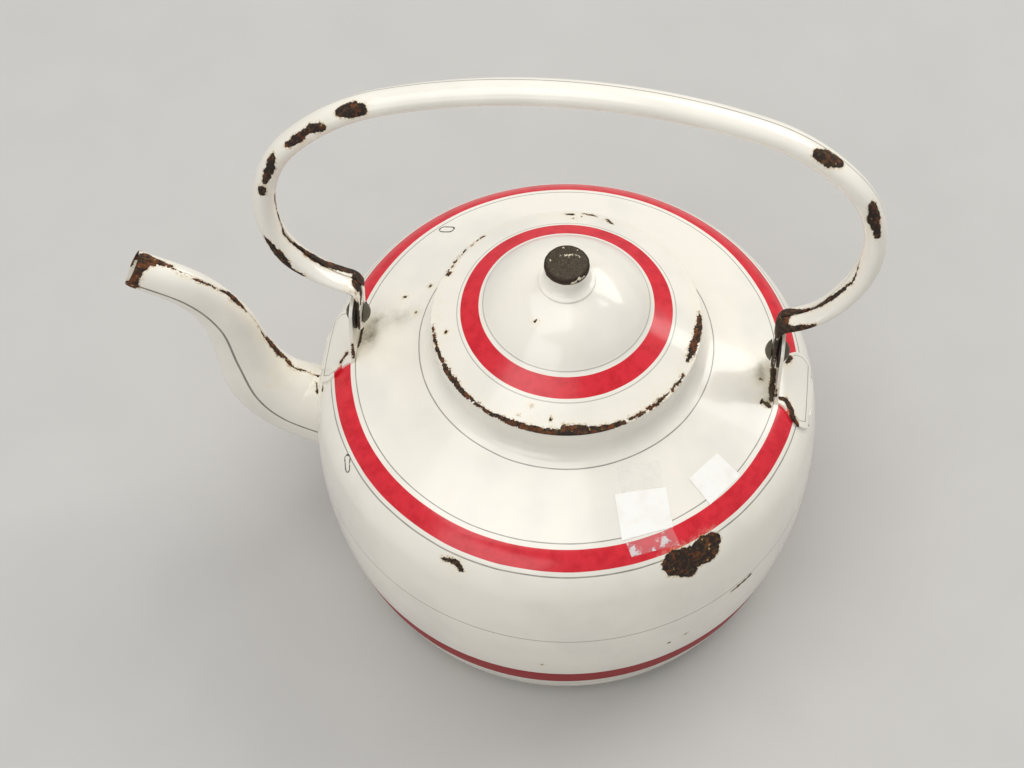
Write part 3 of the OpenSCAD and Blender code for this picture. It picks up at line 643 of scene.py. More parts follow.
EAR_CHIPS = strokes(
    [((106.0, -11.9, 145.8), 1.2), ((109.1, -11.9, 144.2), 1.7), ((111.5, -15.2, 142.4), 1.7),
     ((113.7, -20.1, 139.6), 1.5), ((115.9, -21.6, 135.0), 1.1), ((117.7, -22.6, 132.3), 0.6)],
    [((103.4, -14.5, 150.0), 0.9), ((103.2, -13.0, 158.0), 0.7), ((103.0, -12.0, 164.0), 0.5)],
    [((110.0, 13.9, 143.5), 1.4), ((108.1, 9.8, 144.9), 1.0)],
    [((-103.4, -13.0, 149.0), 1.2), ((-103.6, -12.0, 158.0), 0.6)],
    [((-108.2, -9.5, 144.6), 1.0), ((-110.7, -13.4, 142.8), 0.9)])

body_enamel = enamel("ivory body enamel",
    stripes=(on_height(103.9, 0.5, low=100, radial=True),
             on_height(116.8, 0.5, low=100, radial=True),
             on_height(71.8, 0.55, low=150, radial=True),
             on_height(89.7, 0.55)),
    red_bands=(on_height(110.7, 8.6, low=100, radial=True), on_height(36.4, 17.0)),
    chips=BODY_CHIPS, outlines=BODY_RINGS, aged=0.4, pits=0.3)
lid_enamel = enamel("ivory lid enamel",
    stripes=(on_height(39.6, 0.5, low=100, radial=True),
             on_height(52.2, 0.5, low=100, radial=True)),
    red_bands=(on_height(46.1, 8.9, low=100, radial=True),), aged=0.55, pits=0.45,
    ragged=1.1, rusty=0.8, stripe_ink=0.55)


def along_mark(name, middle, width):
    """A painted line at one value of a stored measure."""
    def draw(r):
        return r.line(r.mark(name), middle, width)
    return draw


spout_enamel = enamel("ivory spout enamel", stripes=(along_mark("round", 0.0, 1.3),),
                      chips=SPOUT_CHIPS, aged=0.8, pits=0.3, rusty=0.9, flaked=1.0,
                      stripe_ink=1.0)
bail_enamel = enamel("ivory bail enamel", stripes=(along_mark("round", 0.0, 0.5),),
                     aged=0.5, pits=0.2, ragged=0.9)


def ear_tip(r):
    """Where the body's red ring was brushed on over the near tips of the ears' feet."""
    _, y, _ = r.parts()
    ring = on_height(110.7, 8.6, low=100, radial=True)(r)
    return ring * r.step(r.mark("round"), -0.2, -0.9) * r.step(y, -8.0, -10.0)


ear_enamel = enamel("ivory ear enamel", stripes=(along_mark("round", 0.0, 0.4),),
                    red_bands=(ear_tip,), chips=EAR_CHIPS, aged=0.9, pits=0.4, ragged=0.8,
                    rusty=0.8)
stem_enamel = enamel("ivory knob enamel", stripes=(along_mark("round", 0.0, 0.5),), aged=0.35,
                     pits=0.3, stripe_ink=0.6)
cap_bare = rubbed_cap("worn cap steel", CAP_FLECKS)
rivet_steel = worn_steel("rivet steel", shade(104, 98, 80), 0.3, 0.35)
washer_steel = worn_steel("washer steel", shade(58, 46, 34), 0.8, 0.15)
label_paper, creased_film = paper("label paper"), clear_film("creased clear film", 1.0)
flat_film = clear_film("flat clear film", 0.06)

# ---------------------------------------------------------------- body and base
inner_skin = skin(-WALL, PAN_Z + 3)
shell_outline = np.vstack((
    arc(LOW[0], LOW[1] - WALL - 0.1, low_angle(PAN_Z - 6), low_angle(PAN_Z + 0.1), 4),
    arc((skin_radius(PAN_Z + 0.5) - 0.42, PAN_Z + 0.52), 0.42, -80, 0, 5),
    skin(0, PAN_Z + 0.9),
    straight((NECK_R, FILLET_AT[1]), (NECK_R, BEAD[1] - 0.6), 8),
    arc(BEAD, BEAD_R, -4, 205, 24),
    [(NECK_R - WALL, BEAD[1] - BEAD_R - 0.3)],
    inner_skin[::-1],
    arc(LOW[0], LOW[1] - 2 * WALL - 0.1, low_angle(PAN_Z - 6), low_angle(PAN_Z + 1.3), 4)[::-1]))
points, faces = turned(shell_outline, 320)
body = piece("body", rippled(points, 0.16, 42, 3.1), faces, "kettle",
             body_enamel, ["body_shell"])

heel_x = LOW[0][0] + math.sqrt((LOW[1] - HEEL_R) ** 2 - (HEEL_R - LOW[0][1]) ** 2)
heel_top = math.degrees(math.asin((HEEL_R - LOW[0][1]) / (LOW[1] - HEEL_R)))
pan_outline = np.vstack((
    [(0, 0.0)], straight((0, 0.0), (heel_x, 0.0), 40)[:-1],
    arc((heel_x, HEEL_R), HEEL_R, -90, heel_top, 26),
    arc(LOW[0], LOW[1], heel_top, low_angle(PAN_Z - 0.4), 4)[1:],
    arc((skin_radius(PAN_Z - 0.5) - 0.42, PAN_Z - 0.42), 0.42, 0, 90, 5),
    arc(LOW[0], LOW[1] - WALL, heel_top, low_angle(PAN_Z), 4)[::-1],
    arc((heel_x, HEEL_R), HEEL_R - WALL, -90, heel_top, 20)[::-1][1:],
    straight((heel_x, WALL), (0, WALL), 30)))
points, faces = turned(pan_outline, 320)
base = piece("base", points, faces, "kettle", body_enamel, ["base_pan"])

# ---------------------------------------------------------------- spout
# beyond the belly, height, half height and half width of each station
SPOUT = np.array([[-19.6, 72.8, 31, 17.4], [-1.7, 79.1, 28.9, 17], [17.9, 88, 25.1, 15.7],
                  [30.1, 103, 20.8, 13.8], [37, 127.7, 15.5, 11], [42.7, 154.1, 13.4, 8.8],
                  [56.8, 174.3, 11.6, 8.6], [83.6, 188.8, 9.6, 9]])


def spout_row(i):
    if i < 0:
        return 2 * SPOUT[0] - SPOUT[1]
    return SPOUT[i] if i < len(SPOUT) else 2 * SPOUT[-1] - SPOUT[-2]


def spout_point(t, h, inset=0.0):
    """A point of the spout at station t and angle h round it: 0 is the top seam."""
    i = min(int(t), len(SPOUT) - 2)
    u = t - i
    a, b, c, d = (spout_row(i + k) for k in (-1, 0, 1, 2))
    at = 0.5 * (2 * b + (c - a) * u + (2 * a - 5 * b + 4 * c - d) * u ** 2
                + (3 * b - a - 3 * c + d) * u ** 3)
    way = 0.5 * ((c - a) + 2 * (2 * a - 5 * b + 4 * c - d) * u + 3 * (3 * b - a - 3 * c + d) * u ** 2)
    dx, dz = way[:2] / np.hypot(*way[:2])
    ch, sh = math.cos(h), math.sin(h)
    tall, wide = at[2] - inset, at[3] - inset
    return np.array([-(BELLY_R + at[0]) + tall * ch * dz, wide * sh, at[1] + tall * ch * dx]), \
        np.array([ch * dz / tall, sh / wide, ch * dx / tall])


def clear_of_skin(p):
    return math.hypot(p[0], p[1]) - float(skin_radius(p[2]))


def spout_root(h, inset):
    """Station where the line at angle h comes out of the body's skin."""
    last = 0.0
    for t in np.linspace(0, 3, 61):
        if clear_of_skin(spout_point(t, h, inset)[0]) > -0.35:
            low, high = last, t
            for _ in range(18):
                t = (low + high) / 2
                if clear_of_skin(spout_point(t, h, inset)[0]) > -0.35:
                    high = t
                else:
                    low = t
            return t
        last = t
    return 0.0


def spout_half(name, side, node):
    """side is -1 for the near half and 1 for the far one."""
    angles = np.radians(np.concatenate(([0, 1.3, 2.8, 5], np.linspace(9, 171, 37),
                                        [175, 177.2, 178.7, 180])))
    dip = np.zeros(len(angles))
    dip[[0, -1]], dip[[1, -2]] = 0.42, 0.1
    rows, top = [], len(SPOUT) - 1.0
    for inset in (0.0, WALL):
        roots = [spout_root(h, inset) for h in angles]
        for u in np.linspace(0, 1, 110):
            row = []
            for h, root, low in zip(angles, roots, dip):
                t = root + (top - root) * u ** 1.25
                p, n = spout_point(t, h * side, inset)
                n /= np.linalg.norm(n)
                if inset == 0:
                    # weld where the spout meets the body, and a rounded lip at the mouth
                    foot = max(0.0, 2.4 - np.linalg.norm(p - spout_point(root, h * side)[0]))
                    lip = max(0.0, u - 0.995) / 0.005
                    p = p + n * (2.4 - math.sqrt(2.4 ** 2 - foot ** 2) - low - 0.35 * lip ** 2)
                row.append(p)
            rows.append(row)
    half = len(rows) // 2
    rows = rows[:half] + rows[half:][::-1]
    points = np.array(rows)
    faces = grid(len(rows), len(angles), round_rows=True)
    # close the two long edges between outer and inner sheet
    n = len(angles)
    for j in (0, n - 1):
        for i in range(half - 1):
            k = 2 * half - 1 - i
            faces.append([i * n + j, (i + 1) * n + j, (k - 1) * n + j, k * n + j])
    obj = piece(name, points, faces, "kettle", spout_enamel, [node], 50)
    return obj


SPOUT_LINE = [(0.6, -0.55), (3, -0.2), (7, 0.3)]


def mark_round(obj):
    """Stores how far each vertex lies from the line painted along the spout's flank."""
    at = places(obj)
    stations = np.linspace(0, len(SPOUT) - 1, 400)
    line = np.array([spout_point(t, math.radians(-92))[0] for t in stations])
    d = np.empty(len(at))
    for k in range(0, len(at), 2000):
        gap = at[k:k + 2000, None, :] - line[None]
        near = (gap ** 2).sum(2).argmin(1)
        rise = line[np.minimum(near + 1, 399)] - line[np.maximum(near - 1, 0)]
        rise /= np.linalg.norm(rise, axis=1, keepdims=True)
        v = at[k:k + 2000] - line[near]
        up = np.column_stack((rise[:, 2], np.zeros(len(v)), -rise[:, 0]))
        d[k:k + 2000] = (v * up).sum(1) + np.where(np.abs(v[:, 1]) > 9, 50, 0)
    start = np.linalg.norm(at - line[55], axis=1)
    d = np.where(at[:, 0] > line[58][0], d + 9, d)
    store(obj, "round", d)


spout_near = spout_half("spout_near_half", -1, "spout_front")
spout_far = spout_half("spout_far_half", 1, "spout_back")
for half in (spout_near, spout_far):
    mark_round(half)

# ---------------------------------------------------------------- ears, washers, rivets
EAR_X, EAR_T = 103.2, 1.6
PIVOT_Z = float(skin_height(EAR_X)) + 23.4
TOP_R, BASE_W, FOOT_LEN, FOOT_OUT = 10.4, 14.4, 21.0, 19.0
FOOT_PLAN_X = np.array([0.16, 0.3, 0.5, 0.7, 0.85, 0.93, 0.97, 1.0]) * FOOT_OUT
FOOT_PLAN_W = np.array([BASE_W + 0.4, BASE_W + 1.6, 19.8, FOOT_LEN, 19.4, 17.2, 15.0, 10.5])
HEAD_R, HEAD_H, WASHER_T = 5.25, 3.0, 1.2
TAB_HALF = 1.25
TAB_X = EAR_X - WASHER_T - 0.3 - TAB_HALF
HEAD_X = TAB_X - TAB_HALF - 0.3


def ear(name, side, node):
    """Sheet from the rounded top down the upright, round the bend and out over the shoulder."""
    bend = 2.0
    lean = math.hypot(BASE_W, 23.4)
    meet = math.acos(TOP_R / lean) - math.atan(BASE_W / 23.4)
    rows = []
    for a in np.linspace(math.radians(4), math.pi / 2 - meet, 18):
        rows.append(("up", TOP_R * math.cos(a), TOP_R * math.sin(a)))
    z0, w0 = rows[-1][1:]
    for u in np.linspace(0, 1, 22)[1:]:
        rows.append(("up", z0 + (-20.5 - z0) * u, w0 + (BASE_W - w0) * u))
    for a in np.linspace(0, 90, 9)[1:]:
        rows.append(("bend", a, BASE_W + 0.3 * a / 90))
    for x in np.linspace(FOOT_PLAN_X[0] + 0.1, FOOT_OUT, 34):
        rows.append(("foot", x, float(np.interp(x, FOOT_PLAN_X, FOOT_PLAN_W))))
    points = []
    for kind, p, w in rows:
        for u in np.sin(np.linspace(-1, 1, 33) * math.pi / 2):
            y = u * w
            foot_x = EAR_X + EAR_T / 2 + bend
            base = float(skin_height(math.hypot(foot_x, y))) + EAR_T / 2
            if kind == "up":
                z = PIVOT_Z + p
                low = PIVOT_Z - 20.5
                z = z if p > 0 else PIVOT_Z + p * (PIVOT_Z - base - bend) / 20.5
                at = (EAR_X + EAR_T / 2, y, z)
            elif kind == "bend":
                a = math.radians(p)
                at = (foot_x - bend * math.cos(a), y, base + bend - bend * math.sin(a))
            else:
                x = EAR_X + p - (0.9 * (y / 10.5) ** 2 if p > 0.95 * FOOT_OUT else 0)
                r = math.hypot(x, y)
                slope = (float(skin_height(r + 0.2)) - float(skin_height(r - 0.2))) / 0.4
                at = (x, y, float(skin_height(r)) + (EAR_T / 2 - 0.1) * math.hypot(1, slope))
            points.append((side * at[0], at[1], at[2]))
    obj = piece(name, points, grid(len(rows), 33), "kettle", ear_enamel, [node])
    thick = obj.modifiers.new("sheet", "SOLIDIFY")
    thick.thickness, thick.offset, thick.use_even_offset = EAR_T * MM, 0, False
    round_rim = obj.modifiers.new("rim", "BEVEL")
    round_rim.width, round_rim.segments, round_rim.angle_limit = 0.55 * MM, 3, math.radians(50)
    settle(obj)
    smooth(obj, 60)
    cut(obj, *rod((side * (EAR_X - 2), 0, PIVOT_Z), (side * (EAR_X + 4), 0, PIVOT_Z), 3.02))
    return obj


def on_pivot(side):
    """Turns points made round Z so that they lie round the bail's pivot line."""
    def turn(p):
        return np.stack((side * p[..., 2], side * p[..., 1], PIVOT_Z - p[..., 0]), -1)
    return turn


def hammered(p, amount, seed):
    flat = p.reshape(-1, 3)
    push = np.array([[noise.noise(Vector(q) / 2.2 + Vector((seed, offset, 0)))
                      for offset in (0.0, 31.7, 63.1)] for q in flat])
    return (flat + push * amount).reshape(p.shape)


cap_r = (HEAD_R ** 2 + HEAD_H ** 2) / (2 * HEAD_H)
cap_a = math.degrees(math.acos(HEAD_R / cap_r))
rivet_outline = np.vstack((
    arc((0, HEAD_X - HEAD_H + cap_r), cap_r, -90, -cap_a - 3, 14),
    arc((HEAD_R - 0.35, HEAD_X - 0.36), 0.35, -30, 90, 5),
    [(3.0, HEAD_X), (3.0, EAR_X + EAR_T)],
    arc((HEAD_R - 0.35, EAR_X + EAR_T + 0.36), 0.35, -90, 30, 5),
    arc((0, EAR_X + EAR_T + HEAD_H - cap_r), cap_r, cap_a + 3, 90, 14)))
washer_outline = np.array([(3.05, EAR_X - WASHER_T + 0.02), (8.1, EAR_X - WASHER_T + 0.02),
                           (8.4, EAR_X - WASHER_T + 0.3), (8.4, EAR_X - 0.3),
                           (8.1, EAR_X - 0.02), (3.05, EAR_X - 0.02)])
ears = []
for word, side in (("left", -1), ("right", 1)):
    ears.append(ear("ear_" + word + "_sheet", side, "ear_" + word))
    points, faces = turned(rivet_outline, 56, on_pivot(side))
    piece("rivet_" + word + "_heads", hammered(points, 0.12, side), faces, "kettle",
          rivet_steel, ["rivet_" + word], 60)
    points, faces = turned(washer_outline, 56, on_pivot(side))
    piece("washer_" + word + "_ring", points, faces, "kettle", washer_steel,
          ["washer_" + word])

# ---------------------------------------------------------------- bail
BAIL_H, CORNER_R, LOW_R, FOLD_R = 138.0, 98.0, 48.6, 7.0
TUBE_A, TUBE_B, TAB_B, LEAN = 5.4, 7.6, 9.0, 14.0
BA1, BA2, FLAT_FROM = 16.0, 46.0, 128.0


def rise(b0, b1, radius):
    """Step along an arc of the bail whose heading turns from b0 to b1 degrees."""
    b0, b1 = math.radians(b0), math.radians(b1)
    return np.array([radius * (math.sin(b1) - math.sin(b0)), radius * (math.cos(b1) - math.cos(b0))])


bend_2 = np.array([EAR_X + 38 - LOW_R * (1 - math.sin(math.radians(BA2))), 0])
bend_1x = bend_2[0] - rise(BA1, BA2, CORNER_R)[0]
CROWN_R = bend_1x / math.sin(math.radians(BA1))
bend_1 = np.array([0, BAIL_H]) + rise(0, BA1, CROWN_R)
bend_2 = bend_1 + rise(BA1, BA2, CORNER_R)
BA3 = 180 - math.degrees(math.asin((TAB_X + FOLD_R - bend_2[0]
                                    + LOW_R * math.sin(math.radians(BA2))) / (LOW_R + FOLD_R)))
bend_3 = bend_2 + rise(BA2, BA3, LOW_R)
tab_top = bend_3 + rise(BA3, 90, -FOLD_R)


def ease(t):
    return t * t * (3 - 2 * t)


def limit(value, low=0.0, high=1.0):
    return max(low, min(high, value))


def bent(x, z):
    """Years of hands have pushed the bail a little towards the spout and out of line."""
    grown, up = ease(limit((z - 12.7) / 30)), limit((z - 12.7) / 120)
    droop = 2.2 * grown * (1 - up) if x < 0 else 0.0
    return x - grown * (2.7 - 1.25 * up), grown * 0.012 * x, z - droop


def bail_stations():
    """Right half of the bail from its crown: x, z, heading, half thickness, half width."""
    out = []
    for b in np.linspace(0, BA1, 50):
        out.append((*(np.array([0, BAIL_H]) + rise(0, b, CROWN_R)), b, TUBE_A, TUBE_B))
    for b in np.linspace(BA1, BA2, 34)[1:]:
        out.append((*(bend_1 + rise(BA1, b, CORNER_R)), b, TUBE_A, TUBE_B))
    for b in np.linspace(BA2, BA3, 84)[1:]:
        f = ease(max(0.0, min(1.0, (b - FLAT_FROM) / (BA3 - FLAT_FROM))))
        out.append((*(bend_2 + rise(BA2, b, LOW_R)), b, TUBE_A + (2.9 - TUBE_A) * f,
                    TUBE_B + 0.55 * (TAB_B - TUBE_B) * f))
    wide = TUBE_B + 0.55 * (TAB_B - TUBE_B)
    for u in np.linspace(0, 1, 20)[1:]:
        b, f = BA3 + (90 - BA3) * u, ease(u)
        out.append((*(bend_3 + rise(BA3, b, -FOLD_R)), b, 2.9 + (TAB_HALF - 2.9) * f,
                    wide + (TAB_B - wide) * f))
    for z in np.linspace(tab_top[1], 0, 12)[1:]:
        out.append((TAB_X, z, 90, TAB_HALF, TAB_B))
    for a in np.radians(np.linspace(0, 86, 16))[1:]:
        out.append((TAB_X, -TAB_B * math.sin(a), 90, TAB_HALF, TAB_B * math.cos(a)))
    return out


half = bail_stations()
whole = [(-x, z, -b, a, w) for x, z, b, a, w in half[:0:-1]] + half
SEAM = 177.0
lip = [(-SEAM, 0.62), (-SEAM - 0.0, 0.3), (-SEAM + 1.2, 0.08)]
ring = lip + [(h, 0.0) for h in np.linspace(-SEAM + 3.5, SEAM - 3.5, 66)] \
    + [(-h, d) for h, d in lip[::-1]] \
    + [(h, WALL) for h in np.linspace(SEAM, -SEAM, 40)]
lean = Matrix.Rotation(math.radians(-LEAN), 3, "X")
points = []
for x, z, b, a, w in whole:
    cx, cy, cz = bent(x, z)
    for h, inset in ring:
        ch, sh = math.cos(math.radians(h)), math.sin(math.radians(h))
        thick, wide = max(a - inset, 0.04), max(w - inset, 0.3)
        p = Vector((cx + thick * ch * math.sin(math.radians(b)), cy + wide * sh,
                    cz + thick * ch * math.cos(math.radians(b))))
        points.append(tuple(lean @ p + Vector((0, 0, PIVOT_Z))))
n = len(ring)
faces = grid(len(whole), n, round_cols=True)
outer_n = n - 40
for start in (0, (len(whole) - 1) * n):
    outer = list(range(start, start + outer_n))
    inner = list(range(start + n - 1, start + outer_n - 1, -1))
    both = [outer[round(i * (outer_n - 1) / 39)] for i in range(40)]
    faces.append(outer + inner[::-1])
bail = piece("bail_tube", points, faces, "bail", bail_enamel, ["bail"], 50)
TO_BAIL = np.array(lean.transposed())


def upright(at):
    """Points in the bail's own plane: x, y across it, and z above the pivot."""
    return (at - (0, 0, PIVOT_Z)) @ TO_BAIL.T


def mark_bail(obj):
    """Stores how far each vertex lies from the line painted along the bail's far side."""
    at = upright(places(obj))
    centre = np.array([bent(x, z)[::2] for x, z, *_ in whole])
    turn = np.array([math.radians(b) for _, _, b, _, _ in whole])
    d = np.empty(len(at))
    for k in range(0, len(at), 4000):
        gap = at[k:k + 4000, None, [0, 2]] - centre[None]
        near = (gap ** 2).sum(2).argmin(1)
        v = at[k:k + 4000][:, [0, 2]] - centre[near]
        out = v[:, 0] * np.sin(turn[near]) + v[:, 1] * np.cos(turn[near])
        y = at[k:k + 4000, 1]
        angle = np.degrees(np.arctan2(y / TUBE_B, out / TUBE_A))
        d[k:k + 4000] = (angle - 9) * 0.108 + np.where(at[k:k + 4000, 2] < 28, 40, 0)
    store(obj, "round", d)


mark_bail(bail)

# ---------------------------------------------------------------- lid and knob
BRIM = math.tan(math.radians(28.4))
BRIM_T = WALL / math.cos(math.radians(28.4))
DOME_BASE, DOME_R = 39.8, 50.3
EDGE_R = NECK_R + 0.3


def under(r):
    return BEAD[1] + (BEAD_R + 0.3) / math.cos(math.radians(28.4)) + (BEAD[0] - r) * BRIM


dome_c = (0.0, under(DOME_BASE) + BRIM_T - math.sqrt(DOME_R ** 2 - DOME_BASE ** 2))
dome_a = math.degrees(math.acos(DOME_BASE / DOME_R))
lid_outline = np.vstack((
    arc((EDGE_R - 0.35, under(EDGE_R - 0.35) + BRIM_T / 2), BRIM_T / 2, -100, 62, 12),
    straight((EDGE_R - 0.4, under(EDGE_R - 0.4) + BRIM_T),
             (DOME_BASE + 1.6, under(DOME_BASE + 1.6) + BRIM_T), 36),
    arc(dome_c, DOME_R, dome_a + 1.2, 86.5, 60),
    arc(dome_c, DOME_R - WALL, 86.5, dome_a, 50),
    straight((DOME_BASE - WALL * math.sin(math.radians(28.4)), under(DOME_BASE)),
             (EDGE_R - 0.5, under(EDGE_R - 0.5)), 12)))
points, faces = turned(lid_outline, 400)
lid = piece("lid_dome_and_brim", rippled(points, 0.14, 26, 7.7), faces, "lid",
            lid_enamel, ["lid_shell"], 45)

spigot_r = NECK_R - 2 * BEAD_R - 0.6
low_z = BEAD[1] - 15
spigot_outline = np.vstack((
    arc((spigot_r - 0.6, low_z + 0.6), 0.6, -180, 0, 10),
    [(spigot_r, under(spigot_r) - 0.02), (spigot_r - 9, under(spigot_r - 9) - 0.02),
     (spigot_r - 9, under(spigot_r - 9) - BRIM_T)],
    [(spigot_r - WALL - 0.6, under(spigot_r - WALL - 0.6) - BRIM_T),
     (spigot_r - WALL, under(spigot_r - WALL) - BRIM_T - 0.6)]))
points, faces = turned(spigot_outline, 288)
spigot = piece("lid_ring", points, faces, "lid", lid_enamel, ["lid_spigot"])

FOOT_R, WAIST_R, CAP_R, FLARE = 13.4, 8.9, 10.6, 5.0
foot_z = dome_c[1] + math.sqrt(DOME_R ** 2 - FOOT_R ** 2)
cap_z = foot_z + 14.5
flare_c = (WAIST_R + FLARE, foot_z + 6)
fr = DOME_R + WALL
gap = np.array(flare_c) - np.array(dome_c)
d = float(np.hypot(*gap))
k = (fr ** 2 - (FLARE + WALL) ** 2 + d * d) / (2 * d)
meet = np.array(dome_c) + gap / d * k + math.sqrt(fr ** 2 - k * k) * np.array([-gap[1], gap[0]]) / d
meet_a = 360 + math.degrees(math.atan2(meet[1] - flare_c[1], meet[0] - flare_c[0]))
floor_a = math.degrees(math.atan2(meet[1] - dome_c[1], meet[0]))
stem_outline = np.vstack((
    arc((FOOT_R - 0.45, foot_z + 0.5), 0.5, -70, 60, 7),
    arc(flare_c, FLARE, 262, 180, 26),
    arc((CAP_R - WALL - 4, cap_z - 4.6), 4, -18, 0, 6),
    straight((CAP_R - WALL, cap_z - 4.6), (CAP_R - WALL, cap_z - 2.25), 3),
    straight((CAP_R - 2 * WALL, cap_z - 2.25), (CAP_R - 2 * WALL, cap_z - 4.6), 3),
    arc(flare_c, FLARE + WALL, 180, meet_a, 10),
    arc(dome_c, fr - 0.01, floor_a, 87.3, 8),
    arc(dome_c, DOME_R + 0.01, 87.2, math.degrees(math.acos(FOOT_R / DOME_R)) + 0.6, 14)))
points, faces = turned(stem_outline, 96)
stem = piece("knob_stem_flare", points, faces, "lid", stem_enamel, ["knob_stem"], 45)

EDGE = 2.2
cap_outline = np.vstack((
    arc((CAP_R - 0.3, cap_z - 3.5), 0.3, -90, 0, 4),
    arc((CAP_R - EDGE, cap_z - EDGE), EDGE, 0, 82, 14),
    [(r, cap_z + 0.7 - 0.011 * r * r) for r in np.linspace(7.6, 0, 12)],
    [(0.0, cap_z + 0.7 - WALL)],
    arc((CAP_R - EDGE, cap_z - EDGE), EDGE - WALL, 80, 0, 6),
    [(CAP_R - WALL + 0.02, cap_z - 3.8)]))
points, faces = turned(cap_outline, 96)
cap = piece("knob_top_cap", hammered(points, 0.14, 5), faces, "lid", cap_bare,
            ["knob_cap"], 60)

shank_low = dome_c[1] + math.sqrt((DOME_R - WALL) ** 2 - 25)
shank_top = dome_c[1] + DOME_R + WALL
pin_outline = np.array([(0, shank_low - 2), (3, shank_low - 1.7), (4.4, shank_low - 1),
                        (5, shank_low), (2.5, shank_low), (2.5, shank_top), (4.2, shank_top),
                        (3.8, shank_top + 1), (2.4, shank_top + 1.6), (0, shank_top + 1.8)])
points, faces = turned(pin_outline, 48)
piece("knob_pin", points, faces, "lid", rivet_steel, ["knob_rivet"])

# ---------------------------------------------------------------- paper labels
def on_shoulder(name, corners, lift, material):
    """A thin sheet pressed onto the shoulder between four corners given from above."""
    corners = np.array(corners, float)
    points = []
    steps = np.linspace(0, 1, 17)
    for level in (lift, lift - 0.1):
        for v in steps:
            for u in steps:
                x, y = ((1 - v) * ((1 - u) * corners[0] + u * corners[1])
                        + v * ((1 - u) * corners[3] + u * corners[2]))
                edge = 2 * max(abs(u - 0.5), abs(v - 0.5))
                curl = 0.25 * max(0.0, edge - 0.86) * noise.noise((x / 5, y / 5, 4.0))
                points.append((x, y, float(skin_height(math.hypot(x, y))) + level + curl))
    n = len(steps)
    top = np.array(grid(n, n))
    faces = top.tolist() + (top[:, ::-1] + n * n).tolist()
    rim = [*range(n), *range(2 * n - 1, n * n, n), *range(n * n - 2, n * n - n - 1, -1),
           *range(n * n - 2 * n, 0, -n)]
    for a, b in zip(rim, rim[1:] + rim[:1]):
        faces.append([a, b, b + n * n, a + n * n])
    return piece(name, points, faces, "kettle", material)


on_shoulder("label_large", ((31.5, -79.1), (55.1, -71.3), (60.1, -88.1), (37.0, -98.5)), 0.3,
            label_paper)
on_shoulder("label_small", ((65.4, -65.0), (77.6, -49.4), (89.7, -56.8), (76.5, -74.2)), 0.3,
            label_paper)
on_shoulder("label_film_top", ((30.9, -66.7), (50.3, -60.3), (53.8, -72.0), (34.4, -78.4)), 0.2,
            flat_film)
on_shoulder("label_film", ((38.2, -97.9), (59.6, -88.5), (64.2, -94.4), (42.2, -104.2)), 0.2,
            creased_film)

# ---------------------------------------------------------------- wear
ALL_WHOLE = 90.0


def heel_wear(at):
    """The heel has been set down on iron for years."""
    return np.where(at[:, 2] < 13, 0.9 + 0.22 * np.abs(at[:, 2] - 2.5), 30)


def inner_of(at, surface_height, low=0.0):
    """1 on faces that lie under the outer sheet, where no ring is painted."""
    r = np.hypot(at[:, 0], at[:, 1])
    return ((surface_height(r) - at[:, 2] > 0.6) & (at[:, 2] > low)).astype(float)


def rim_wear(at):
    """Specks crowd towards the front of the brim's edge."""
    r = np.hypot(at[:, 0], at[:, 1])
    front = np.clip((30 - at[:, 1]) / 60, 0, 1)
    return np.where(at[:, 2] > under(EDGE_R) - 1, 0.95 + 0.3 * (EDGE_R - r) + (1 - front), 30)


def foot_line(side):
    """A thin line that follows the outer rim of an ear's foot."""
    def measure(at):
        x, y = side * at[:, 0] - EAR_X, np.abs(at[:, 1])
        wide = np.interp(x, FOOT_PLAN_X, FOOT_PLAN_W)
        inside = np.minimum(wide - y, FOOT_OUT - x)
        return np.where((x > 6) & (at[:, 2] < PIVOT_Z - 20), inside - 2.6, ALL_WHOLE)
    return measure


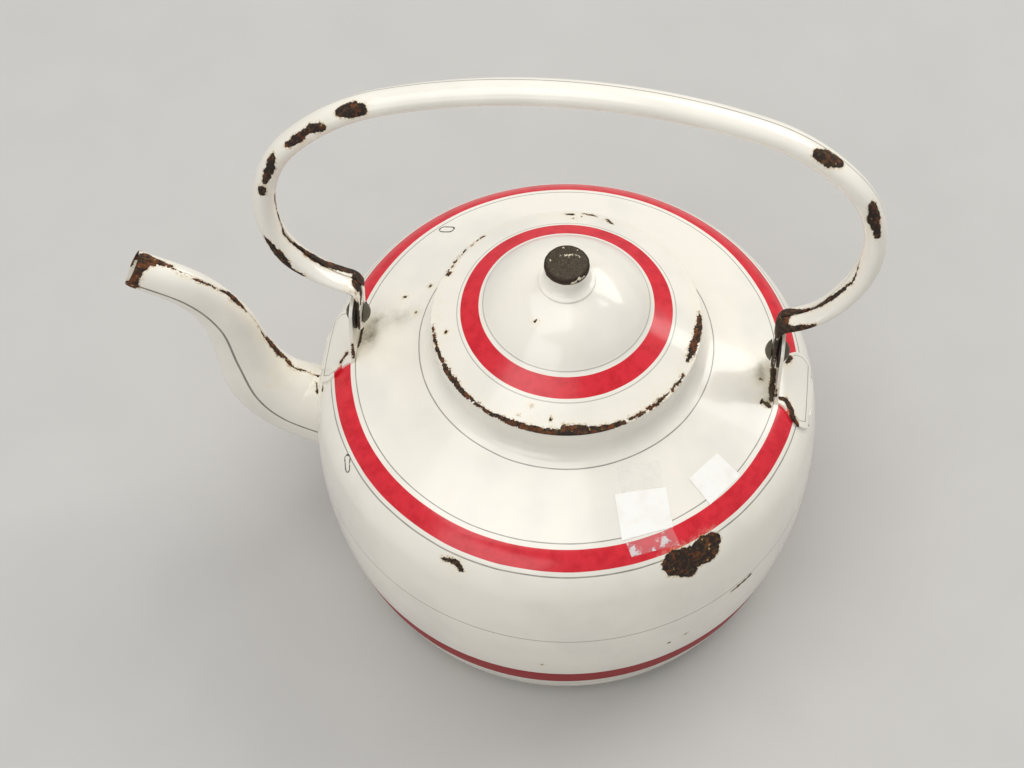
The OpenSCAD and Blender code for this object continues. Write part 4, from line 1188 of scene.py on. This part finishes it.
wear(body, BACK_CHIPS,
     soot_and_shade=(((-98.5, 1.0, 147.8), (5, 8, 5), 1.0), ((-96.2, 10.2, 148.5), (5, 5, 4), 0.8),
           # painted shadow of the bail mixed with grease: a broad smudge right of the left rivet
           ((-86, 9, 152.5), (14, 6, 9), 0.4),
           # the last spot, inside the right ear's foot, is painted shadow of the ear mixed with a
           # rust stain
           ((96.4, 0.8, 149.1), (5, 7, 5), 0.8), ((100, -12, 147), (3, 5, 4), 0.6)))
wear(base, extra=heel_wear, soot_and_shade=(((0, 0, 0), (150, 150, 2.5), 0.85),))
wear(bail, BAIL_CHIPS)
wear(lid, LID_CHIPS, rim_wear)
for obj in (spout_near, spout_far, spigot, stem):
    wear(obj)
for obj, side in zip(ears, (-1, 1)):
    wear(obj, soot_and_shade=(((side * 104, 0, PIVOT_Z), (5, 9, 9), 0.5),))
    store(obj, "round", foot_line(side)(places(obj)))
for obj in (body, base, lid, spigot):
    store(obj, "round", np.full(len(obj.data.vertices), ALL_WHOLE))
for obj in (base, spout_near, spout_far, bail, stem, *ears):
    store(obj, "inner", np.zeros(len(obj.data.vertices)))
store(stem, "round", places(stem)[:, 2] - foot_z - 0.1)
at = places(body)
low_inner = np.hypot(at[:, 0], at[:, 1]) - skin_radius(at[:, 2]) < -0.6
store(body, "inner", np.where(at[:, 2] < TURN[0][1], low_inner,
                              inner_of(at, skin_height) * (at[:, 2] < FILLET_AT[1])))
store(lid, "inner", inner_of(places(lid), lambda r: under(r) + BRIM_T))
store(spigot, "inner", np.ones(len(spigot.data.vertices)))

# ---------------------------------------------------------------- floor and light
floor_mesh = bpy.data.meshes.new("floor")
floor_mesh.from_pydata([(-6, -6, 0), (6, -6, 0), (6, 6, 0), (-6, 6, 0)], [], [[0, 1, 2, 3]])
floor = bpy.data.objects.new("floor", floor_mesh)
bpy.context.scene.collection.objects.link(floor)
r = Recipe("pale floor")
floor_mesh.materials.append(r.surface(
    Base_Color=r.mix(r.grain(60, 3, 0.5, 1.0), shade(196, 194, 190), shade(188, 186, 182)),
    Roughness=0.7 + r.grain(20, 2, 0.5, 2.0) * 0.1))

put_camera()
bpy.context.scene.view_settings.view_transform = "Standard"
soft_light("window", (1.5, 1.7, 2.3), (0, 0, 0.1), (2.2, 1.6), 46, (1.0, 0.98, 0.945))
soft_light("ceiling", (-0.6, -0.1, 2.4), (0, 0, 0.1), (2.2, 1.8), 26, (1.0, 0.985, 0.96))
soft_light("fill", (-0.8, -1.8, 1.5), (0, 0, 0.1), (1.6, 1.2), 10, (1.0, 0.985, 0.975))
world = bpy.data.worlds.new("room")
world.use_nodes = True
world.node_tree.nodes["Background"].inputs[0].default_value = (0.86, 0.88, 0.92, 1)
world.node_tree.nodes["Background"].inputs[1].default_value = 0.5
bpy.context.scene.world = world
